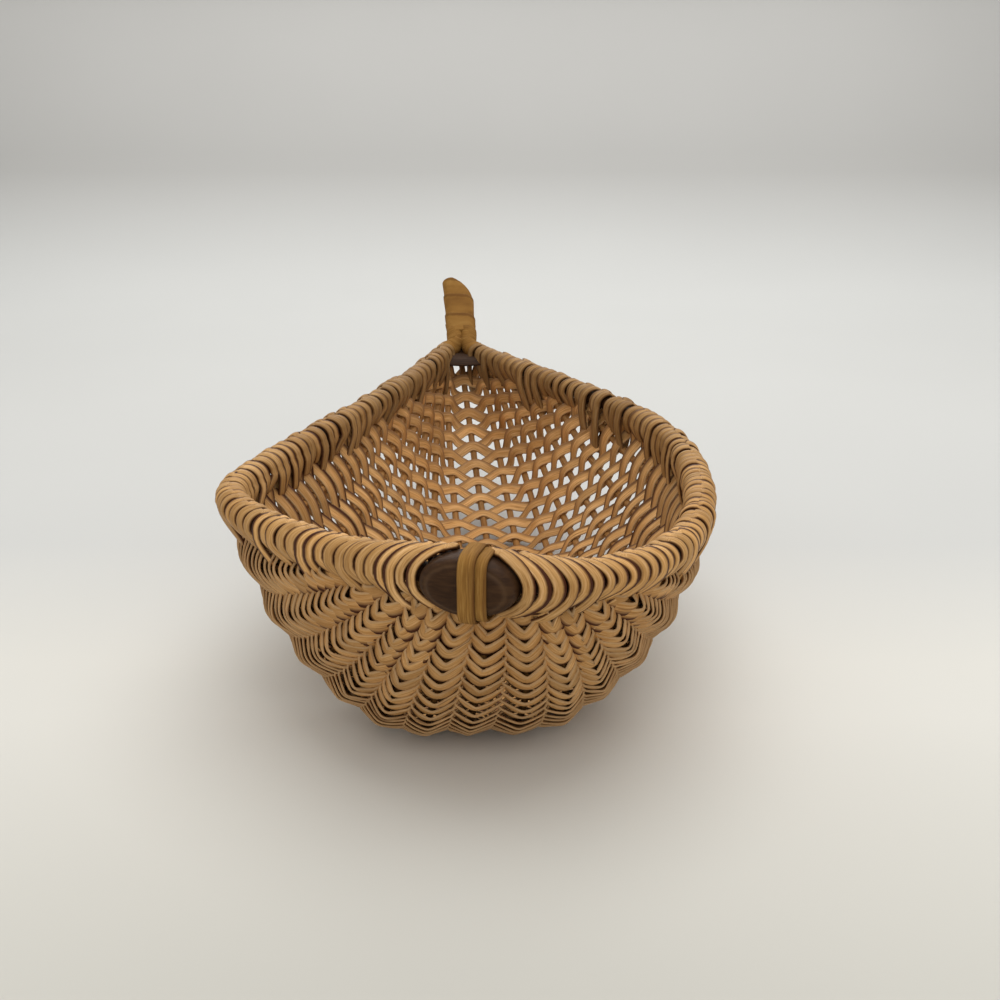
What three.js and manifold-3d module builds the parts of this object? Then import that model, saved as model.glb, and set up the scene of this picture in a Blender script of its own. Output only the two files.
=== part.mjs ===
// A rigid banana-shaped rib basket of split cane, in millimetres.
// X runs across, Y runs from the blunt blossom end to the stem, and Z is up from the table.
import * as THREE from "three";
import { mergeVertices } from "three/addons/utils/BufferGeometryUtils.js";
import Module from "manifold-3d";

// Rim hoop centreline: how far it reaches and how high it stands
const frontReach = 151.5;
const frontOffsetX = 9;
const leftReach = 89.5;
const rightReach = 70.5;
const leftWidestY = -72.5;
const rightWidestY = -28;
const throatY = 150;
const throatX = -19.8;
const throatHalfGap = 7.8;
const rimHeightFront = 72;
const rimHeightLeft = 72;
const rimHeightRight = 68;
const rimHeightThroat = 72.5;

// Rim fullness: lengths of the curve handles at its turning points
const frontHandleLeft = 32.5;
const frontHandleRight = 34.5;
const shoulderHandleLeft = 34;
const shoulderHandleRight = 80;
const waistHandleLeft = 25;
const waistHandleRight = 65;
const throatHandleLeft = 100;
const throatHandleRight = 100;
const throatAngleLeft = 9;
const throatAngleRight = 28;

// Stem: the two ends of the hoop turned up side by side
const stemBaseForward = 9;
const stemBaseRise = 5.5;
const stemLean = 45;
const stemLength = 36;
const stemShortEnd = 9;
const stemShoulder = 2.5;
const stemDrift = -3;
const stemBendHandle = 7;
const legGap = 0.5;

// Stock sizes
const rodDiameter = 6;
const ribDiameter = 3;
const caneThickness = 0.8;
const caneClearance = 0.4;
const seatClearance = 0.3;

// Keel line under the basket and the cross sections hung from the rim
const keelDropFront = 17.5;
const keelInsetFront = 5;
const keelFrontFall = 32;
const bellyInsetFront = 59.5;
const bellyInsetThroat = 110;
const keelFrontRun = 28;
const keelFrontLean = 7;
const keelRearRun = 40;
const keelDropThroat = 7.5;
const keelReachThroat = 4;
const keelRearFall = 36;
const keelRearBack = 30;
const bellyHalfWidth = 19;
const mostFlatShare = 0.36;
const sectionPower = 1.58;

// Weave
const ribsPerSide = 6;
const sideRibSpread = 0.1;
const ribHoldStation = 0.55;
const ribFan = 0.05;
const ribFanReach = 0.45;
const ribFanEnd = 0.2;
const rowCount = 34;
const weaveStartLeft = 71;
const weaveStartRight = 49;
const rowGap = 0.7;
const slopeClearance = 0.3;
const slopePasses = 3;
const leastSectionLength = 34;
const ribSlimming = 0.165;
const ribOverrun = 0.35;
const ribSearchStep = 0.05;
const ribLeadRows = 2;
const bellyTolerance = 0.1;

// Windings of flat cane
const rimLoops = 24;
const rimTurnSteps = 8;
const rimWindingRadius = 5.85;
const rimWindingRadiusThroat = 4.95;
const rimSwellRadius = 7.2;
const rimSwellRun = 26;
const turnGap = 0.7;
const lashingTurnGap = 1.2;
const windingTail = 0.8;
const windingSlack = 1.2;
const stemLoops = 6;
const lashingLoops = 3;
const stemTurnSteps = 12;
const stemWindingThickness = 0.9;
const lashingSetback = 4.5;
const lashingSlack = 0.5;
const lashingRun = 3;

// Oval boss on the blossom end, and the straps that bind it
const bossOffset = 16.5;
const bossHalfLength = 15;
const bossHalfHeight = 9.2;
const bossDepth = 8.4;
const strapWidth = 5;
const strapShift = 2.5;
const strapStep = 3;
const strapSteps = 20;
const bossSegments = 24;
const bossRings = 14;
const grooveMargin = 0.1;
const grooveReach = 22.5;

// Fineness of the curves
const curveSamples = 90;
const sectionSamples = 96;
const rodSides = 8;
const ribSides = 6;
const pathTolerance = 0.1;
const hoopStride = 2;
const watchStride = 3;
const directionReach = 0.5;
const stationNudge = 0.004;
const placeNudge = 0.01;
const placeStep = 0.004;
const stationSearchStart = 0.5;
const stationSearchStep = 0.002;
const leastSlant = 0.5;

// Colours and roughness
const caneRoughness = 0.6;
const windingRoughness = 0.55;
const bossRoughness = 0.4;

const caneColor = 0xb28c5c;
const paleCaneColor = 0xbf9a66;
const ribColor = 0xa3773f;
const rodColor = 0x4a3626;
const bossColor = 0x3c2f24;

const rodRadius = rodDiameter / 2;
const ribRadius = ribDiameter / 2;
const bellyHeight = ribRadius + caneClearance + caneThickness;
const degree = Math.PI / 180;
const up = new THREE.Vector3(0, 0, 1);
const vec = (x, y, z) => new THREE.Vector3(x, y, z);

// A line through points, read by the length along it
class Trail {
  constructor(points) {
    this.points = points;
    this.marks = [0];
    for (let i = 1; i < points.length; i += 1) {
      this.marks.push(this.marks[i - 1] + points[i].distanceTo(points[i - 1]));
    }
    this.length = this.marks[points.length - 1];
  }

  at(distance) {
    let low = 0;
    let high = this.marks.length - 1;
    while (high - low > 1) {
      const middle = (low + high) >> 1;
      if (this.marks[middle] > distance) high = middle;
      else low = middle;
    }
    const share = (distance - this.marks[low]) / (this.marks[high] - this.marks[low]);
    return this.points[low].clone().lerp(this.points[high], share);
  }

  direction(distance) {
    const ahead = this.at(Math.min(distance + directionReach, this.length));
    return ahead.sub(this.at(Math.max(distance - directionReach, 0))).normalize();
  }
}

function bend(start, startHandle, endHandle, end) {
  const curve = new THREE.CubicBezierCurve3(start, startHandle, endHandle, end);
  return curve.getPoints(curveSamples);
}

function joinRuns(...runs) {
  return runs.reduce((all, run) => all.concat(run.slice(1)));
}

// Half of the hoop, from the blossom end round one side and up the stem; side is -1 left, 1 right
function hoopHalf(side) {
  const left = side < 0;
  const reach = left ? leftReach : rightReach;
  const widestY = left ? leftWidestY : rightWidestY;
  const height = left ? rimHeightLeft : rimHeightRight;
  const angle = (left ? throatAngleLeft : throatAngleRight) * degree;
  const inward = vec(-side * Math.sin(angle), Math.cos(angle), 0);
  const front = vec(frontOffsetX, -frontReach, rimHeightFront);
  const frontHandle = front.clone();
  frontHandle.x += side * (left ? frontHandleLeft : frontHandleRight);
  const widest = vec(side * reach, widestY, height);
  const shoulder = widest.clone();
  shoulder.y -= left ? shoulderHandleLeft : shoulderHandleRight;
  const waist = widest.clone();
  waist.y += left ? waistHandleLeft : waistHandleRight;
  const throat = vec(throatX + side * throatHalfGap, throatY, rimHeightThroat);
  const throatRun = left ? throatHandleLeft : throatHandleRight;
  const throatHandle = throat.clone().addScaledVector(inward, -throatRun);
  const legX = (rodDiameter + legGap) / 2;
  const base = vec(throatX + side * legX, throatY + stemBaseForward, rimHeightThroat + stemBaseRise);
  const rise = vec(0, Math.sin(stemLean * degree), Math.cos(stemLean * degree));
  const length = left ? stemLength : stemLength - stemShortEnd;
  const tip = base.clone().addScaledVector(rise, length);
  tip.x += stemDrift * (length / stemLength);
  const drift = tip.clone().sub(base).normalize();
  const bendIn = throat.clone().addScaledVector(inward, stemBendHandle);
  const bendOut = base.clone().addScaledVector(drift, -stemBendHandle);
  const stem = [base, base.clone().lerp(tip, 0.5), tip];
  return {
    rim: joinRuns(bend(front, frontHandle, shoulder, widest), bend(widest, waist, throatHandle, throat)),
    turn: bend(throat, bendIn, bendOut, base),
    stem,
  };
}

const leftHalf = hoopHalf(-1);
const rightHalf = hoopHalf(1);
const leftRim = new Trail(leftHalf.rim);
const rightRim = new Trail(rightHalf.rim);
const leftLeg = new Trail(joinRuns(leftHalf.turn, leftHalf.stem));
const rightLeg = new Trail(joinRuns(rightHalf.turn, rightHalf.stem));
const leftRun = joinRuns(leftHalf.rim, leftHalf.turn, leftHalf.stem);
const rightRun = joinRuns(rightHalf.rim, rightHalf.turn, rightHalf.stem);
const hoop = new Trail(joinRuns(leftRun.slice().reverse(), rightRun));
const frontMark = leftRim.length + leftLeg.length;
const bossMark = frontMark - bossOffset;

// Outer radius of the wound rim at a place on the hoop
function windingRadius(mark) {
  const fromBoss = Math.max(0, Math.abs(mark - bossMark) - bossHalfLength);
  const half = mark < frontMark ? leftRim.length : rightRim.length;
  const along = Math.min(1, Math.abs(mark - frontMark) / half);
  const plain = THREE.MathUtils.lerp(rimWindingRadius, rimWindingRadiusThroat, along);
  const swell = 1 - THREE.MathUtils.smoothstep(fromBoss, 0, rimSwellRun);
  return THREE.MathUtils.lerp(plain, rimSwellRadius, swell);
}

const strapLayers = 2 * (seatClearance + caneThickness);
const strapRadius = bossHalfHeight + strapLayers;

// Radius round the hoop that the weave stays out of
function keepOutRadius(mark) {
  const fromBoss = Math.abs(mark - bossMark);
  if (Math.abs(mark - bossMark - strapShift) < strapWidth + strapStep) return strapRadius;
  if (fromBoss < bossHalfLength) return bossHalfHeight;
  return windingRadius(mark) / Math.cos(Math.PI / rimTurnSteps);
}

const hoopWatch = [];
for (let mark = 0; mark <= hoop.length; mark += watchStride) {
  hoopWatch.push({ point: hoop.at(mark), radius: keepOutRadius(mark) });
}

function rimClearance(point) {
  let least = Infinity;
  for (const watch of hoopWatch) {
    least = Math.min(least, watch.point.distanceTo(point) - watch.radius);
  }
  return least;
}

// Keel line from under the boss, along the flat belly, up to the throat
const keelFront = vec(0, -frontReach + keelInsetFront, rimHeightFront - keelDropFront);
const bellyStart = vec(0, -frontReach + bellyInsetFront, bellyHeight);
const bellyEnd = vec(0, throatY - bellyInsetThroat, bellyHeight);
const keelRear = vec(0, throatY + keelReachThroat, rimHeightThroat - keelDropThroat);
const keel = new Trail(joinRuns(
  bend(
    keelFront,
    keelFront.clone().add(vec(0, keelFrontLean, -keelFrontFall)),
    bellyStart.clone().add(vec(0, -keelFrontRun, 0)),
    bellyStart,
  ),
  [bellyStart, bellyEnd],
  bend(
    bellyEnd,
    bellyEnd.clone().add(vec(0, keelRearRun, 0)),
    keelRear.clone().add(vec(0, -keelRearBack, -keelRearFall)),
    keelRear,
  ),
));

const sectionStore = new Map();

// Cross section of the weave at station t, 0 under the boss and 1 at the throat
function crossSection(t) {
  if (sectionStore.has(t)) return sectionStore.get(t);
  const left = leftRim.at(weaveStartLeft + (leftRim.length - weaveStartLeft) * t);
  const right = rightRim.at(weaveStartRight + (rightRim.length - weaveStartRight) * t);
  const middle = left.clone().lerp(right, 0.5);
  const low = keel.at(keel.length * t);
  low.x = middle.x;
  const across = right.clone().sub(left).multiplyScalar(0.5);
  const down = low.clone().sub(middle);
  const flat = Math.min(bellyHalfWidth / across.length(), mostFlatShare);
  const points = [];
  for (let i = 0; i <= sectionSamples; i += 1) {
    const turn = (i / sectionSamples - 0.5) * Math.PI;
    const sine = Math.abs(Math.sin(turn)) ** (2 / sectionPower);
    const reach = Math.sign(turn) * (flat + (1 - flat) * sine);
    const depth = Math.abs(Math.cos(turn)) ** (2 / sectionPower);
    const point = middle.clone().addScaledVector(across, reach).addScaledVector(down, depth);
    point.z -= across.z * reach * depth;
    if (point.z < bellyHeight + bellyTolerance) point.z = bellyHeight;
    points.push(point);
  }
  const section = new Trail(points);
  sectionStore.set(t, section);
  return section;
}

// Point of the weave's middle surface; u runs from -1 at the left rim to 1 at the right rim
function surfacePoint(t, u) {
  const section = crossSection(t);
  return section.at(((u + 1) / 2) * section.length);
}

function surfaceFrame(t, u) {
  const point = surfacePoint(t, u);
  const ahead = surfacePoint(t + stationNudge, u);
  const along = ahead.sub(surfacePoint(t - stationNudge, u)).normalize();
  const beside = surfacePoint(t, u + placeNudge);
  const around = beside.sub(surfacePoint(t, u - placeNudge)).normalize();
  const out = along.clone().cross(around).normalize();
  return { point, along, out };
}

// Ribs are a little closer together under the belly than up the sides, and fan out from the
// boss. Past the hold station they run on side by side, so that the outer ones end at the rim.
function ribPlace(index, t) {
  const share = index / (ribsPerSide + 1);
  const even = share * (1 - sideRibSpread + sideRibSpread * share * share);
  const bulge = Math.sin(Math.PI * Math.min(1, Math.abs(share) / ribFanReach));
  const fading = 1 - THREE.MathUtils.smoothstep(t, 0, ribFanEnd);
  const spread = even + Math.sign(share) * ribFan * bulge * fading;
  if (t < ribHoldStation) return spread;
  return (spread * crossSection(ribHoldStation).length) / crossSection(t).length;
}

function ribPitch(t) {
  return (ribPlace(1, t) / 2) * crossSection(t).length;
}

function ribRadiusAt(t) {
  return Math.min(ribRadius, ribSlimming * ribPitch(t));
}

// The last row lies where the two sides of the rim come too close together to be woven
function findLastStation() {
  let t = stationSearchStart;
  while (t < 1 && crossSection(t).length > leastSectionLength) t += stationSearchStep;
  return t;
}

const lastStation = findLastStation();
const stationStep = lastStation / (rowCount - 1);
const ribIndices = [];
for (let index = -ribsPerSide; index <= ribsPerSide; index += 1) ribIndices.push(index);

function weaveOffset(t) {
  return ribRadiusAt(t) + caneClearance + caneThickness / 2;
}

// A row crosses a rib only where both pass clear of the wound rim
function crosses(index, row) {
  const t = row * stationStep;
  const room = ribRadiusAt(t) + 2 * (caneClearance + caneThickness);
  const u = ribPlace(index, t);
  return Math.abs(u) < 1 && rimClearance(surfacePoint(t, u)) > room;
}

const crossings = new Map();
for (const index of ribIndices) {
  const rows = [];
  for (let row = 0; row < rowCount; row += 1) {
    if (crosses(index, row)) rows.push(row);
  }
  crossings.set(index, { first: rows[0], last: rows[rows.length - 1] });
}

function isCrossed(index, row) {
  const range = crossings.get(index);
  return row >= range.first && row <= range.last;
}

// Where a row crosses the ribs, out over one and in under the next. Each crossing stands off
// its rib far enough for the strip's width on a curved rib and for its slope to the next one.
function rowKnots(row) {
  const t = row * stationStep;
  const seat = ribRadiusAt(t) + caneThickness / 2;
  const knots = [];
  for (const index of ribIndices) {
    if (!isCrossed(index, row)) continue;
    const u = ribPlace(index, t);
    const side = (index + row) % 2 === 0 ? 1 : -1;
    const frame = surfaceFrame(t, u);
    const half = stripHalfWidth(t, u, frame.point);
    const around = frame.out.clone().cross(frame.along);
    let curl = 0;
    let sidestep = 0;
    for (const way of [-1, 1]) {
      const next = t + way * stationStep;
      const edge = surfacePoint(next, ribPlace(index, next)).sub(frame.point);
      const share = half / edge.length();
      curl = Math.max(curl, side * edge.dot(frame.out) * share ** 2);
      sidestep = Math.max(sidestep, Math.abs(edge.dot(around)) * share);
    }
    const offset = side * (seat + caneClearance + curl);
    knots.push({ u, side, frame, offset, curl, sidestep });
  }
  for (let pass = 0; pass < slopePasses; pass += 1) {
    const middles = knots.map((knot) => (
      knot.frame.point.clone().addScaledVector(knot.frame.out, knot.offset)
    ));
    for (let i = 0; i < knots.length; i += 1) {
      const { frame, side, curl, sidestep } = knots[i];
      for (const next of [middles[i - 1], middles[i + 1]]) {
        if (!next) continue;
        const away = next.clone().sub(middles[i]);
        const drop = -side * away.dot(frame.out);
        const slope = drop / away.length();
        const level = (seat + slopeClearance) / Math.sqrt(1 - slope * slope);
        const needed = level + curl + Math.max(0, slope) * sidestep;
        knots[i].offset = side * Math.max(Math.abs(knots[i].offset), needed);
      }
    }
  }
  return knots;
}

function rowOffset(knots, u, reach) {
  const first = knots[0];
  const last = knots[knots.length - 1];
  if (u <= first.u) return first.offset * Math.max(0, 1 - (first.u - u) / reach);
  if (u >= last.u) return last.offset * Math.max(0, 1 - (u - last.u) / reach);
  const next = knots.findIndex((knot) => knot.u >= u);
  const before = knots[next - 1];
  const share = (u - before.u) / (knots[next].u - before.u);
  return THREE.MathUtils.lerp(before.offset, knots[next].offset, share);
}

// A strip fills the space between its neighbours but for a gap
function stripHalfWidth(t, u, point) {
  const ahead = surfacePoint(t + stationStep, u).distanceTo(point);
  const behind = surfacePoint(t - stationStep, u).distanceTo(point);
  return (Math.min(ahead, behind) - rowGap) / 2;
}

// The four corners of a flat strip at u on a row
function rowCorners(row, knots, u) {
  const t = row * stationStep;
  const frame = surfaceFrame(t, u);
  const half = stripHalfWidth(t, u, frame.point);
  const offset = rowOffset(knots, u, ribPlace(1, t));
  const corners = [];
  for (const [wide, thick] of [[-1, -1], [1, -1], [1, 1], [-1, 1]]) {
    const corner = frame.point.clone()
      .addScaledVector(frame.out, offset + (thick * caneThickness) / 2)
      .addScaledVector(frame.along, wide * half);
    corner.z = Math.max(corner.z, 0);
    corners.push(corner);
  }
  return corners;
}

function rowEnd(row, knots, side) {
  const outer = side < 0 ? knots[0].u : knots[knots.length - 1].u;
  let end = outer;
  while (Math.abs(end) < 1 - placeStep) {
    const next = end + side * placeStep;
    const corners = rowCorners(row, knots, next);
    if (Math.min(...corners.map(rimClearance)) < seatClearance) break;
    end = next;
  }
  return end;
}

// A closed skin over rings of points, capped at both ends
function skin(rings) {
  const sides = rings[0].length;
  const positions = [];
  const faces = [];
  for (const ring of rings) {
    for (const point of ring) positions.push(point.x, point.y, point.z);
  }
  for (let i = 0; i + 1 < rings.length; i += 1) {
    for (let k = 0; k < sides; k += 1) {
      const a = i * sides + k;
      const b = i * sides + ((k + 1) % sides);
      faces.push(a, b, b + sides, a, b + sides, a + sides);
    }
  }
  const far = (rings.length - 1) * sides;
  for (let k = 1; k + 1 < sides; k += 1) {
    faces.push(0, k + 1, k, far, far + k, far + k + 1);
  }
  if (signedVolume(positions, faces) < 0) faces.reverse();
  const geometry = new THREE.BufferGeometry();
  geometry.setAttribute("position", new THREE.Float32BufferAttribute(positions, 3));
  geometry.setIndex(faces);
  geometry.computeVertexNormals();
  return geometry;
}

function signedVolume(positions, faces) {
  const corner = (index) => new THREE.Vector3().fromArray(positions, index * 3);
  let volume = 0;
  for (let i = 0; i < faces.length; i += 3) {
    volume += corner(faces[i]).dot(corner(faces[i + 1]).cross(corner(faces[i + 2]))) / 6;
  }
  return volume;
}

// Places along a trail where straight pieces between them stay within a tolerance of it
function thinMarks(trail, stride) {
  const marks = [0];
  let from = 0;
  let to = stride;
  while (to < trail.length) {
    const next = Math.min(to + stride, trail.length);
    const middle = trail.at((from + next) / 2);
    const chord = trail.at(from).lerp(trail.at(next), 0.5);
    if (middle.distanceTo(chord) > pathTolerance) {
      marks.push(to);
      from = to;
    }
    to = next;
  }
  marks.push(trail.length);
  return marks;
}

function roundRing(center, direction, radius, sides) {
  const first = direction.clone().cross(up).normalize();
  const second = direction.clone().cross(first).normalize();
  const ring = [];
  for (let k = 0; k < sides; k += 1) {
    const angle = ((k + 0.5) / sides) * 2 * Math.PI;
    ring.push(center.clone()
      .addScaledVector(first, Math.cos(angle) * radius)
      .addScaledVector(second, Math.sin(angle) * radius));
  }
  return ring;
}

const basket = new THREE.Group();

function addPiece(name, geometry, color, roughness) {
  const material = new THREE.MeshStandardMaterial({ color, roughness, metalness: 0 });
  const mesh = new THREE.Mesh(geometry, material);
  mesh.name = name;
  basket.add(mesh);
}

function makeHoop() {
  const rings = thinMarks(hoop, hoopStride).map((mark) => (
    roundRing(hoop.at(mark), hoop.direction(mark), rodRadius, rodSides)
  ));
  return skin(rings);
}

// A rib runs from close under the rim at the blossom end to its shaved tip at the throat
function ribStations(index) {
  const { first, last } = crossings.get(index);
  const isClear = (t) => {
    const room = ribRadiusAt(t) + seatClearance;
    return rimClearance(surfacePoint(t, ribPlace(index, t))) > room && 2 * room < ribPitch(t);
  };
  const overrun = stationStep * ribOverrun;
  const reach = stationStep * ribSearchStep;
  let start = first * stationStep - overrun;
  while (first === 0 && isClear(start - reach) && start > -ribLeadRows * stationStep) start -= reach;
  let end = last * stationStep + overrun;
  while (last === rowCount - 1 && isClear(end + reach) && end < 1 - reach) end += reach;
  const stations = [start];
  for (let row = first; row <= last; row += 1) stations.push(row * stationStep);
  stations.push(end);
  return stations;
}

function makeRib(index) {
  const stations = ribStations(index);
  const spot = (t) => surfacePoint(t, ribPlace(index, t));
  const kept = [stations[0]];
  for (let i = 1; i + 1 < stations.length; i += 1) {
    const from = kept[kept.length - 1];
    const share = (stations[i] - from) / (stations[i + 1] - from);
    const chord = spot(from).lerp(spot(stations[i + 1]), share);
    const bent = chord.distanceTo(spot(stations[i])) > pathTolerance / 2;
    const slimmed = Math.abs(ribRadiusAt(stations[i + 1]) - ribRadiusAt(from)) > pathTolerance / 2;
    if (bent || slimmed) kept.push(stations[i]);
  }
  kept.push(stations[stations.length - 1]);
  const rings = kept.map((t) => {
    const frame = surfaceFrame(t, ribPlace(index, t));
    const heading = spot(t + stationNudge).sub(spot(t - stationNudge));
    const across = heading.cross(frame.out).normalize();
    const radius = ribRadiusAt(t);
    const ring = [];
    for (let k = 0; k < ribSides; k += 1) {
      const angle = ((k + 0.5) / ribSides) * 2 * Math.PI;
      ring.push(frame.point.clone()
        .addScaledVector(frame.out, Math.sin(angle) * radius)
        .addScaledVector(across, Math.cos(angle) * radius));
    }
    return ring;
  });
  return skin(rings);
}

// A row of flat cane; where it passes under a belly rib it lies flat on the table
function makeRow(row) {
  const knots = rowKnots(row);
  const t = row * stationStep;
  const pad = (2 * ribRadiusAt(t)) / crossSection(t).length;
  const places = [rowEnd(row, knots, -1)];
  for (const knot of knots) {
    const onBelly = knot.frame.point.z < bellyHeight + bellyTolerance && knot.offset > 0;
    if (onBelly) places.push(knot.u - pad, knot.u + pad);
    else places.push(knot.u);
  }
  places.push(rowEnd(row, knots, 1));
  const flatKnots = knots.flatMap((knot) => [
    { u: knot.u - pad, offset: knot.offset },
    { u: knot.u + pad, offset: knot.offset },
  ]);
  return skin(places.map((u) => {
    const onPad = flatKnots.some((knot) => Math.abs(knot.u - u) < 1e-9);
    return rowCorners(row, onPad ? flatKnots : knots, u);
  }));
}

// A flat band wound round one rod, or round two that lie side by side, as one unbroken tube.
// Its ends run out to nothing against the pieces that it starts and stops at.
function makeWinding({ name, loops, steps, gap, start, end, axis, spread, inner, outer }) {
  const travel = (end - start) / (loops - 1);
  const band = travel - gap;
  const rings = [];
  const count = loops * steps;
  for (let i = 0; i <= count; i += 1) {
    const mark = start - travel / 2 + (end - start + travel) * (i / count);
    const before = Math.max(start, mark - band / 2);
    const after = Math.min(end, mark + band / 2);
    if (after - before < windingTail) continue;
    const angle = ((i + 0.5) / steps) * 2 * Math.PI;
    const corner = (place, radius) => {
      const frame = axis(place);
      const reach = radius / Math.cos(Math.PI / steps);
      const side = Math.sign(Math.cos(angle)) * spread(place);
      return frame.point.clone()
        .addScaledVector(frame.across, side + Math.cos(angle) * reach)
        .addScaledVector(frame.over, Math.sin(angle) * reach);
    };
    rings.push([
      corner(before, inner(before)),
      corner(after, inner(after)),
      corner(after, outer(after)),
      corner(before, outer(before)),
    ]);
  }
  let least = Infinity;
  for (let i = 0; i + steps < rings.length; i += 1) {
    for (const near of [rings[i][1], rings[i][2]]) {
      for (const far of [rings[i + steps][0], rings[i + steps][3]]) {
        least = Math.min(least, near.distanceTo(far));
      }
    }
  }
  console.log(`${name}: ${loops} loops, least gap between turns ${least.toFixed(2)} mm`);
  return skin(rings);
}

function hoopFrame(mark) {
  const direction = hoop.direction(mark);
  const across = direction.clone().cross(up).normalize();
  const over = direction.clone().cross(across).normalize();
  return { point: hoop.at(mark), across, over };
}

const windingInner = () => rodRadius + seatClearance + windingSlack;
const windingEnds = {
  left: [frontMark - leftRim.length, bossMark - bossHalfLength - seatClearance],
  right: [bossMark + bossHalfLength + seatClearance, frontMark + rightRim.length],
};

function makeRimWinding(side) {
  const [start, end] = windingEnds[side];
  return makeWinding({
    name: `rim_winding_${side}`,
    loops: rimLoops,
    steps: rimTurnSteps,
    gap: turnGap,
    start,
    end,
    axis: hoopFrame,
    spread: () => 0,
    inner: windingInner,
    outer: windingRadius,
  });
}

const leftTurnLength = new Trail(leftHalf.turn).length;
const rightTurnLength = new Trail(rightHalf.turn).length;

// The two legs of the stem, paired by the length along the left one
function legFrame(distance) {
  const turned = Math.min(1, distance / leftTurnLength);
  const risen = Math.max(0, distance - leftTurnLength);
  const level = Math.min(turned * rightTurnLength + risen, rightLeg.length);
  const left = leftLeg.at(distance);
  const heading = leftLeg.direction(distance);
  const direction = heading.clone().add(rightLeg.direction(level)).normalize();
  const past = Math.max(0, risen - (stemLength - stemShortEnd) - stemShoulder);
  const narrowing = Math.max(0, 1 - past / (stemShortEnd - stemShoulder));
  const across = rightLeg.at(level).sub(left);
  across.addScaledVector(direction, -across.dot(direction));
  const gap = across.length() * narrowing;
  across.normalize();
  const point = left.clone().addScaledVector(across, gap / 2);
  const slant = 1 / Math.max(leastSlant, heading.dot(direction));
  return { point, across, over: direction.clone().cross(across).normalize(), gap, slant };
}

const legSpread = (distance) => legFrame(distance).gap / 2;
const lashingStart = lashingSetback;
const lashingEnd = leftTurnLength + lashingRun;
const legInner = (distance) => (rodRadius + seatClearance) * legFrame(distance).slant;
const lashingInner = (distance) => legInner(distance) + lashingSlack;

function makeLashing() {
  return makeWinding({
    name: "throat_lashing",
    loops: lashingLoops,
    steps: stemTurnSteps,
    gap: lashingTurnGap,
    start: lashingStart,
    end: lashingEnd,
    axis: legFrame,
    spread: legSpread,
    inner: lashingInner,
    outer: (distance) => lashingInner(distance) + caneThickness,
  });
}

function makeStemWinding() {
  return makeWinding({
    name: "stem_winding",
    loops: stemLoops,
    steps: stemTurnSteps,
    gap: turnGap,
    start: lashingEnd + seatClearance,
    end: leftLeg.length,
    axis: legFrame,
    spread: legSpread,
    inner: legInner,
    outer: (distance) => legInner(distance) + stemWindingThickness,
  });
}

const wasm = await Module();
wasm.setup();

function toSolid(geometry) {
  const bare = geometry.clone();
  bare.deleteAttribute("normal");
  bare.deleteAttribute("uv");
  const merged = mergeVertices(bare, 1e-4);
  return new wasm.Manifold(new wasm.Mesh({
    numProp: 3,
    vertProperties: new Float32Array(merged.attributes.position.array),
    triVerts: new Uint32Array(merged.index.array),
  }));
}

function toGeometry(solid) {
  const mesh = solid.getMesh();
  const geometry = new THREE.BufferGeometry();
  geometry.setAttribute("position", new THREE.Float32BufferAttribute(mesh.vertProperties, 3));
  geometry.setIndex(Array.from(mesh.triVerts));
  geometry.computeVertexNormals();
  return geometry;
}

const bossFrame = hoopFrame(bossMark);
const bossAlong = hoop.direction(bossMark);
const bossFront = bossFrame.across.clone().multiplyScalar(Math.sign(-bossFrame.across.y));
const bossUp = bossAlong.clone().cross(bossFront);
bossUp.multiplyScalar(Math.sign(bossUp.z));

// The boss is the front half of an oval, grooved at the back to sit on the hoop
function makeBoss() {
  const oval = new THREE.SphereGeometry(1, bossSegments, bossRings);
  oval.scale(bossHalfLength, bossDepth, bossHalfHeight);
  const place = new THREE.Matrix4().makeBasis(bossAlong, bossFront.clone().negate(), bossUp);
  place.setPosition(bossFrame.point);
  oval.applyMatrix4(place);
  const behind = new THREE.BoxGeometry(4 * bossHalfLength, 2 * bossDepth, 4 * bossHalfHeight);
  behind.translate(0, bossDepth, 0);
  behind.applyMatrix4(place);
  const grooveRadius = rodRadius + seatClearance + grooveMargin;
  const rings = [];
  for (let mark = bossMark - grooveReach; mark <= bossMark + grooveReach; mark += watchStride) {
    rings.push(roundRing(hoop.at(mark), hoop.direction(mark), grooveRadius, rodSides));
  }
  const solid = toSolid(oval).subtract(toSolid(behind)).subtract(toSolid(skin(rings)));
  return toGeometry(solid);
}

// A strap is a closed loop of cane over the boss and round the back of the hoop
function makeStrap(shift, layer) {
  const lift = seatClearance + layer * (caneThickness + seatClearance);
  const positions = [];
  for (let i = 0; i < strapSteps; i += 1) {
    const angle = (i / strapSteps) * 2 * Math.PI;
    const ahead = Math.cos(angle) > 0 ? bossDepth : rodRadius;
    const ring = [];
    for (const [wide, rise] of [[-1, 0], [1, 0], [1, caneThickness], [-1, caneThickness]]) {
      const mark = bossMark + shift + (wide * strapWidth) / 2;
      const spot = hoop.at(mark);
      const stretch = 1 / Math.cos(Math.PI / strapSteps);
      const forward = Math.cos(angle) * (ahead * stretch + lift + rise);
      const height = Math.sin(angle) * (bossHalfHeight * stretch + lift + rise);
      ring.push(spot.addScaledVector(bossFront, forward).addScaledVector(bossUp, height));
    }
    positions.push(ring);
  }
  return closedSkin(positions);
}

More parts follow.
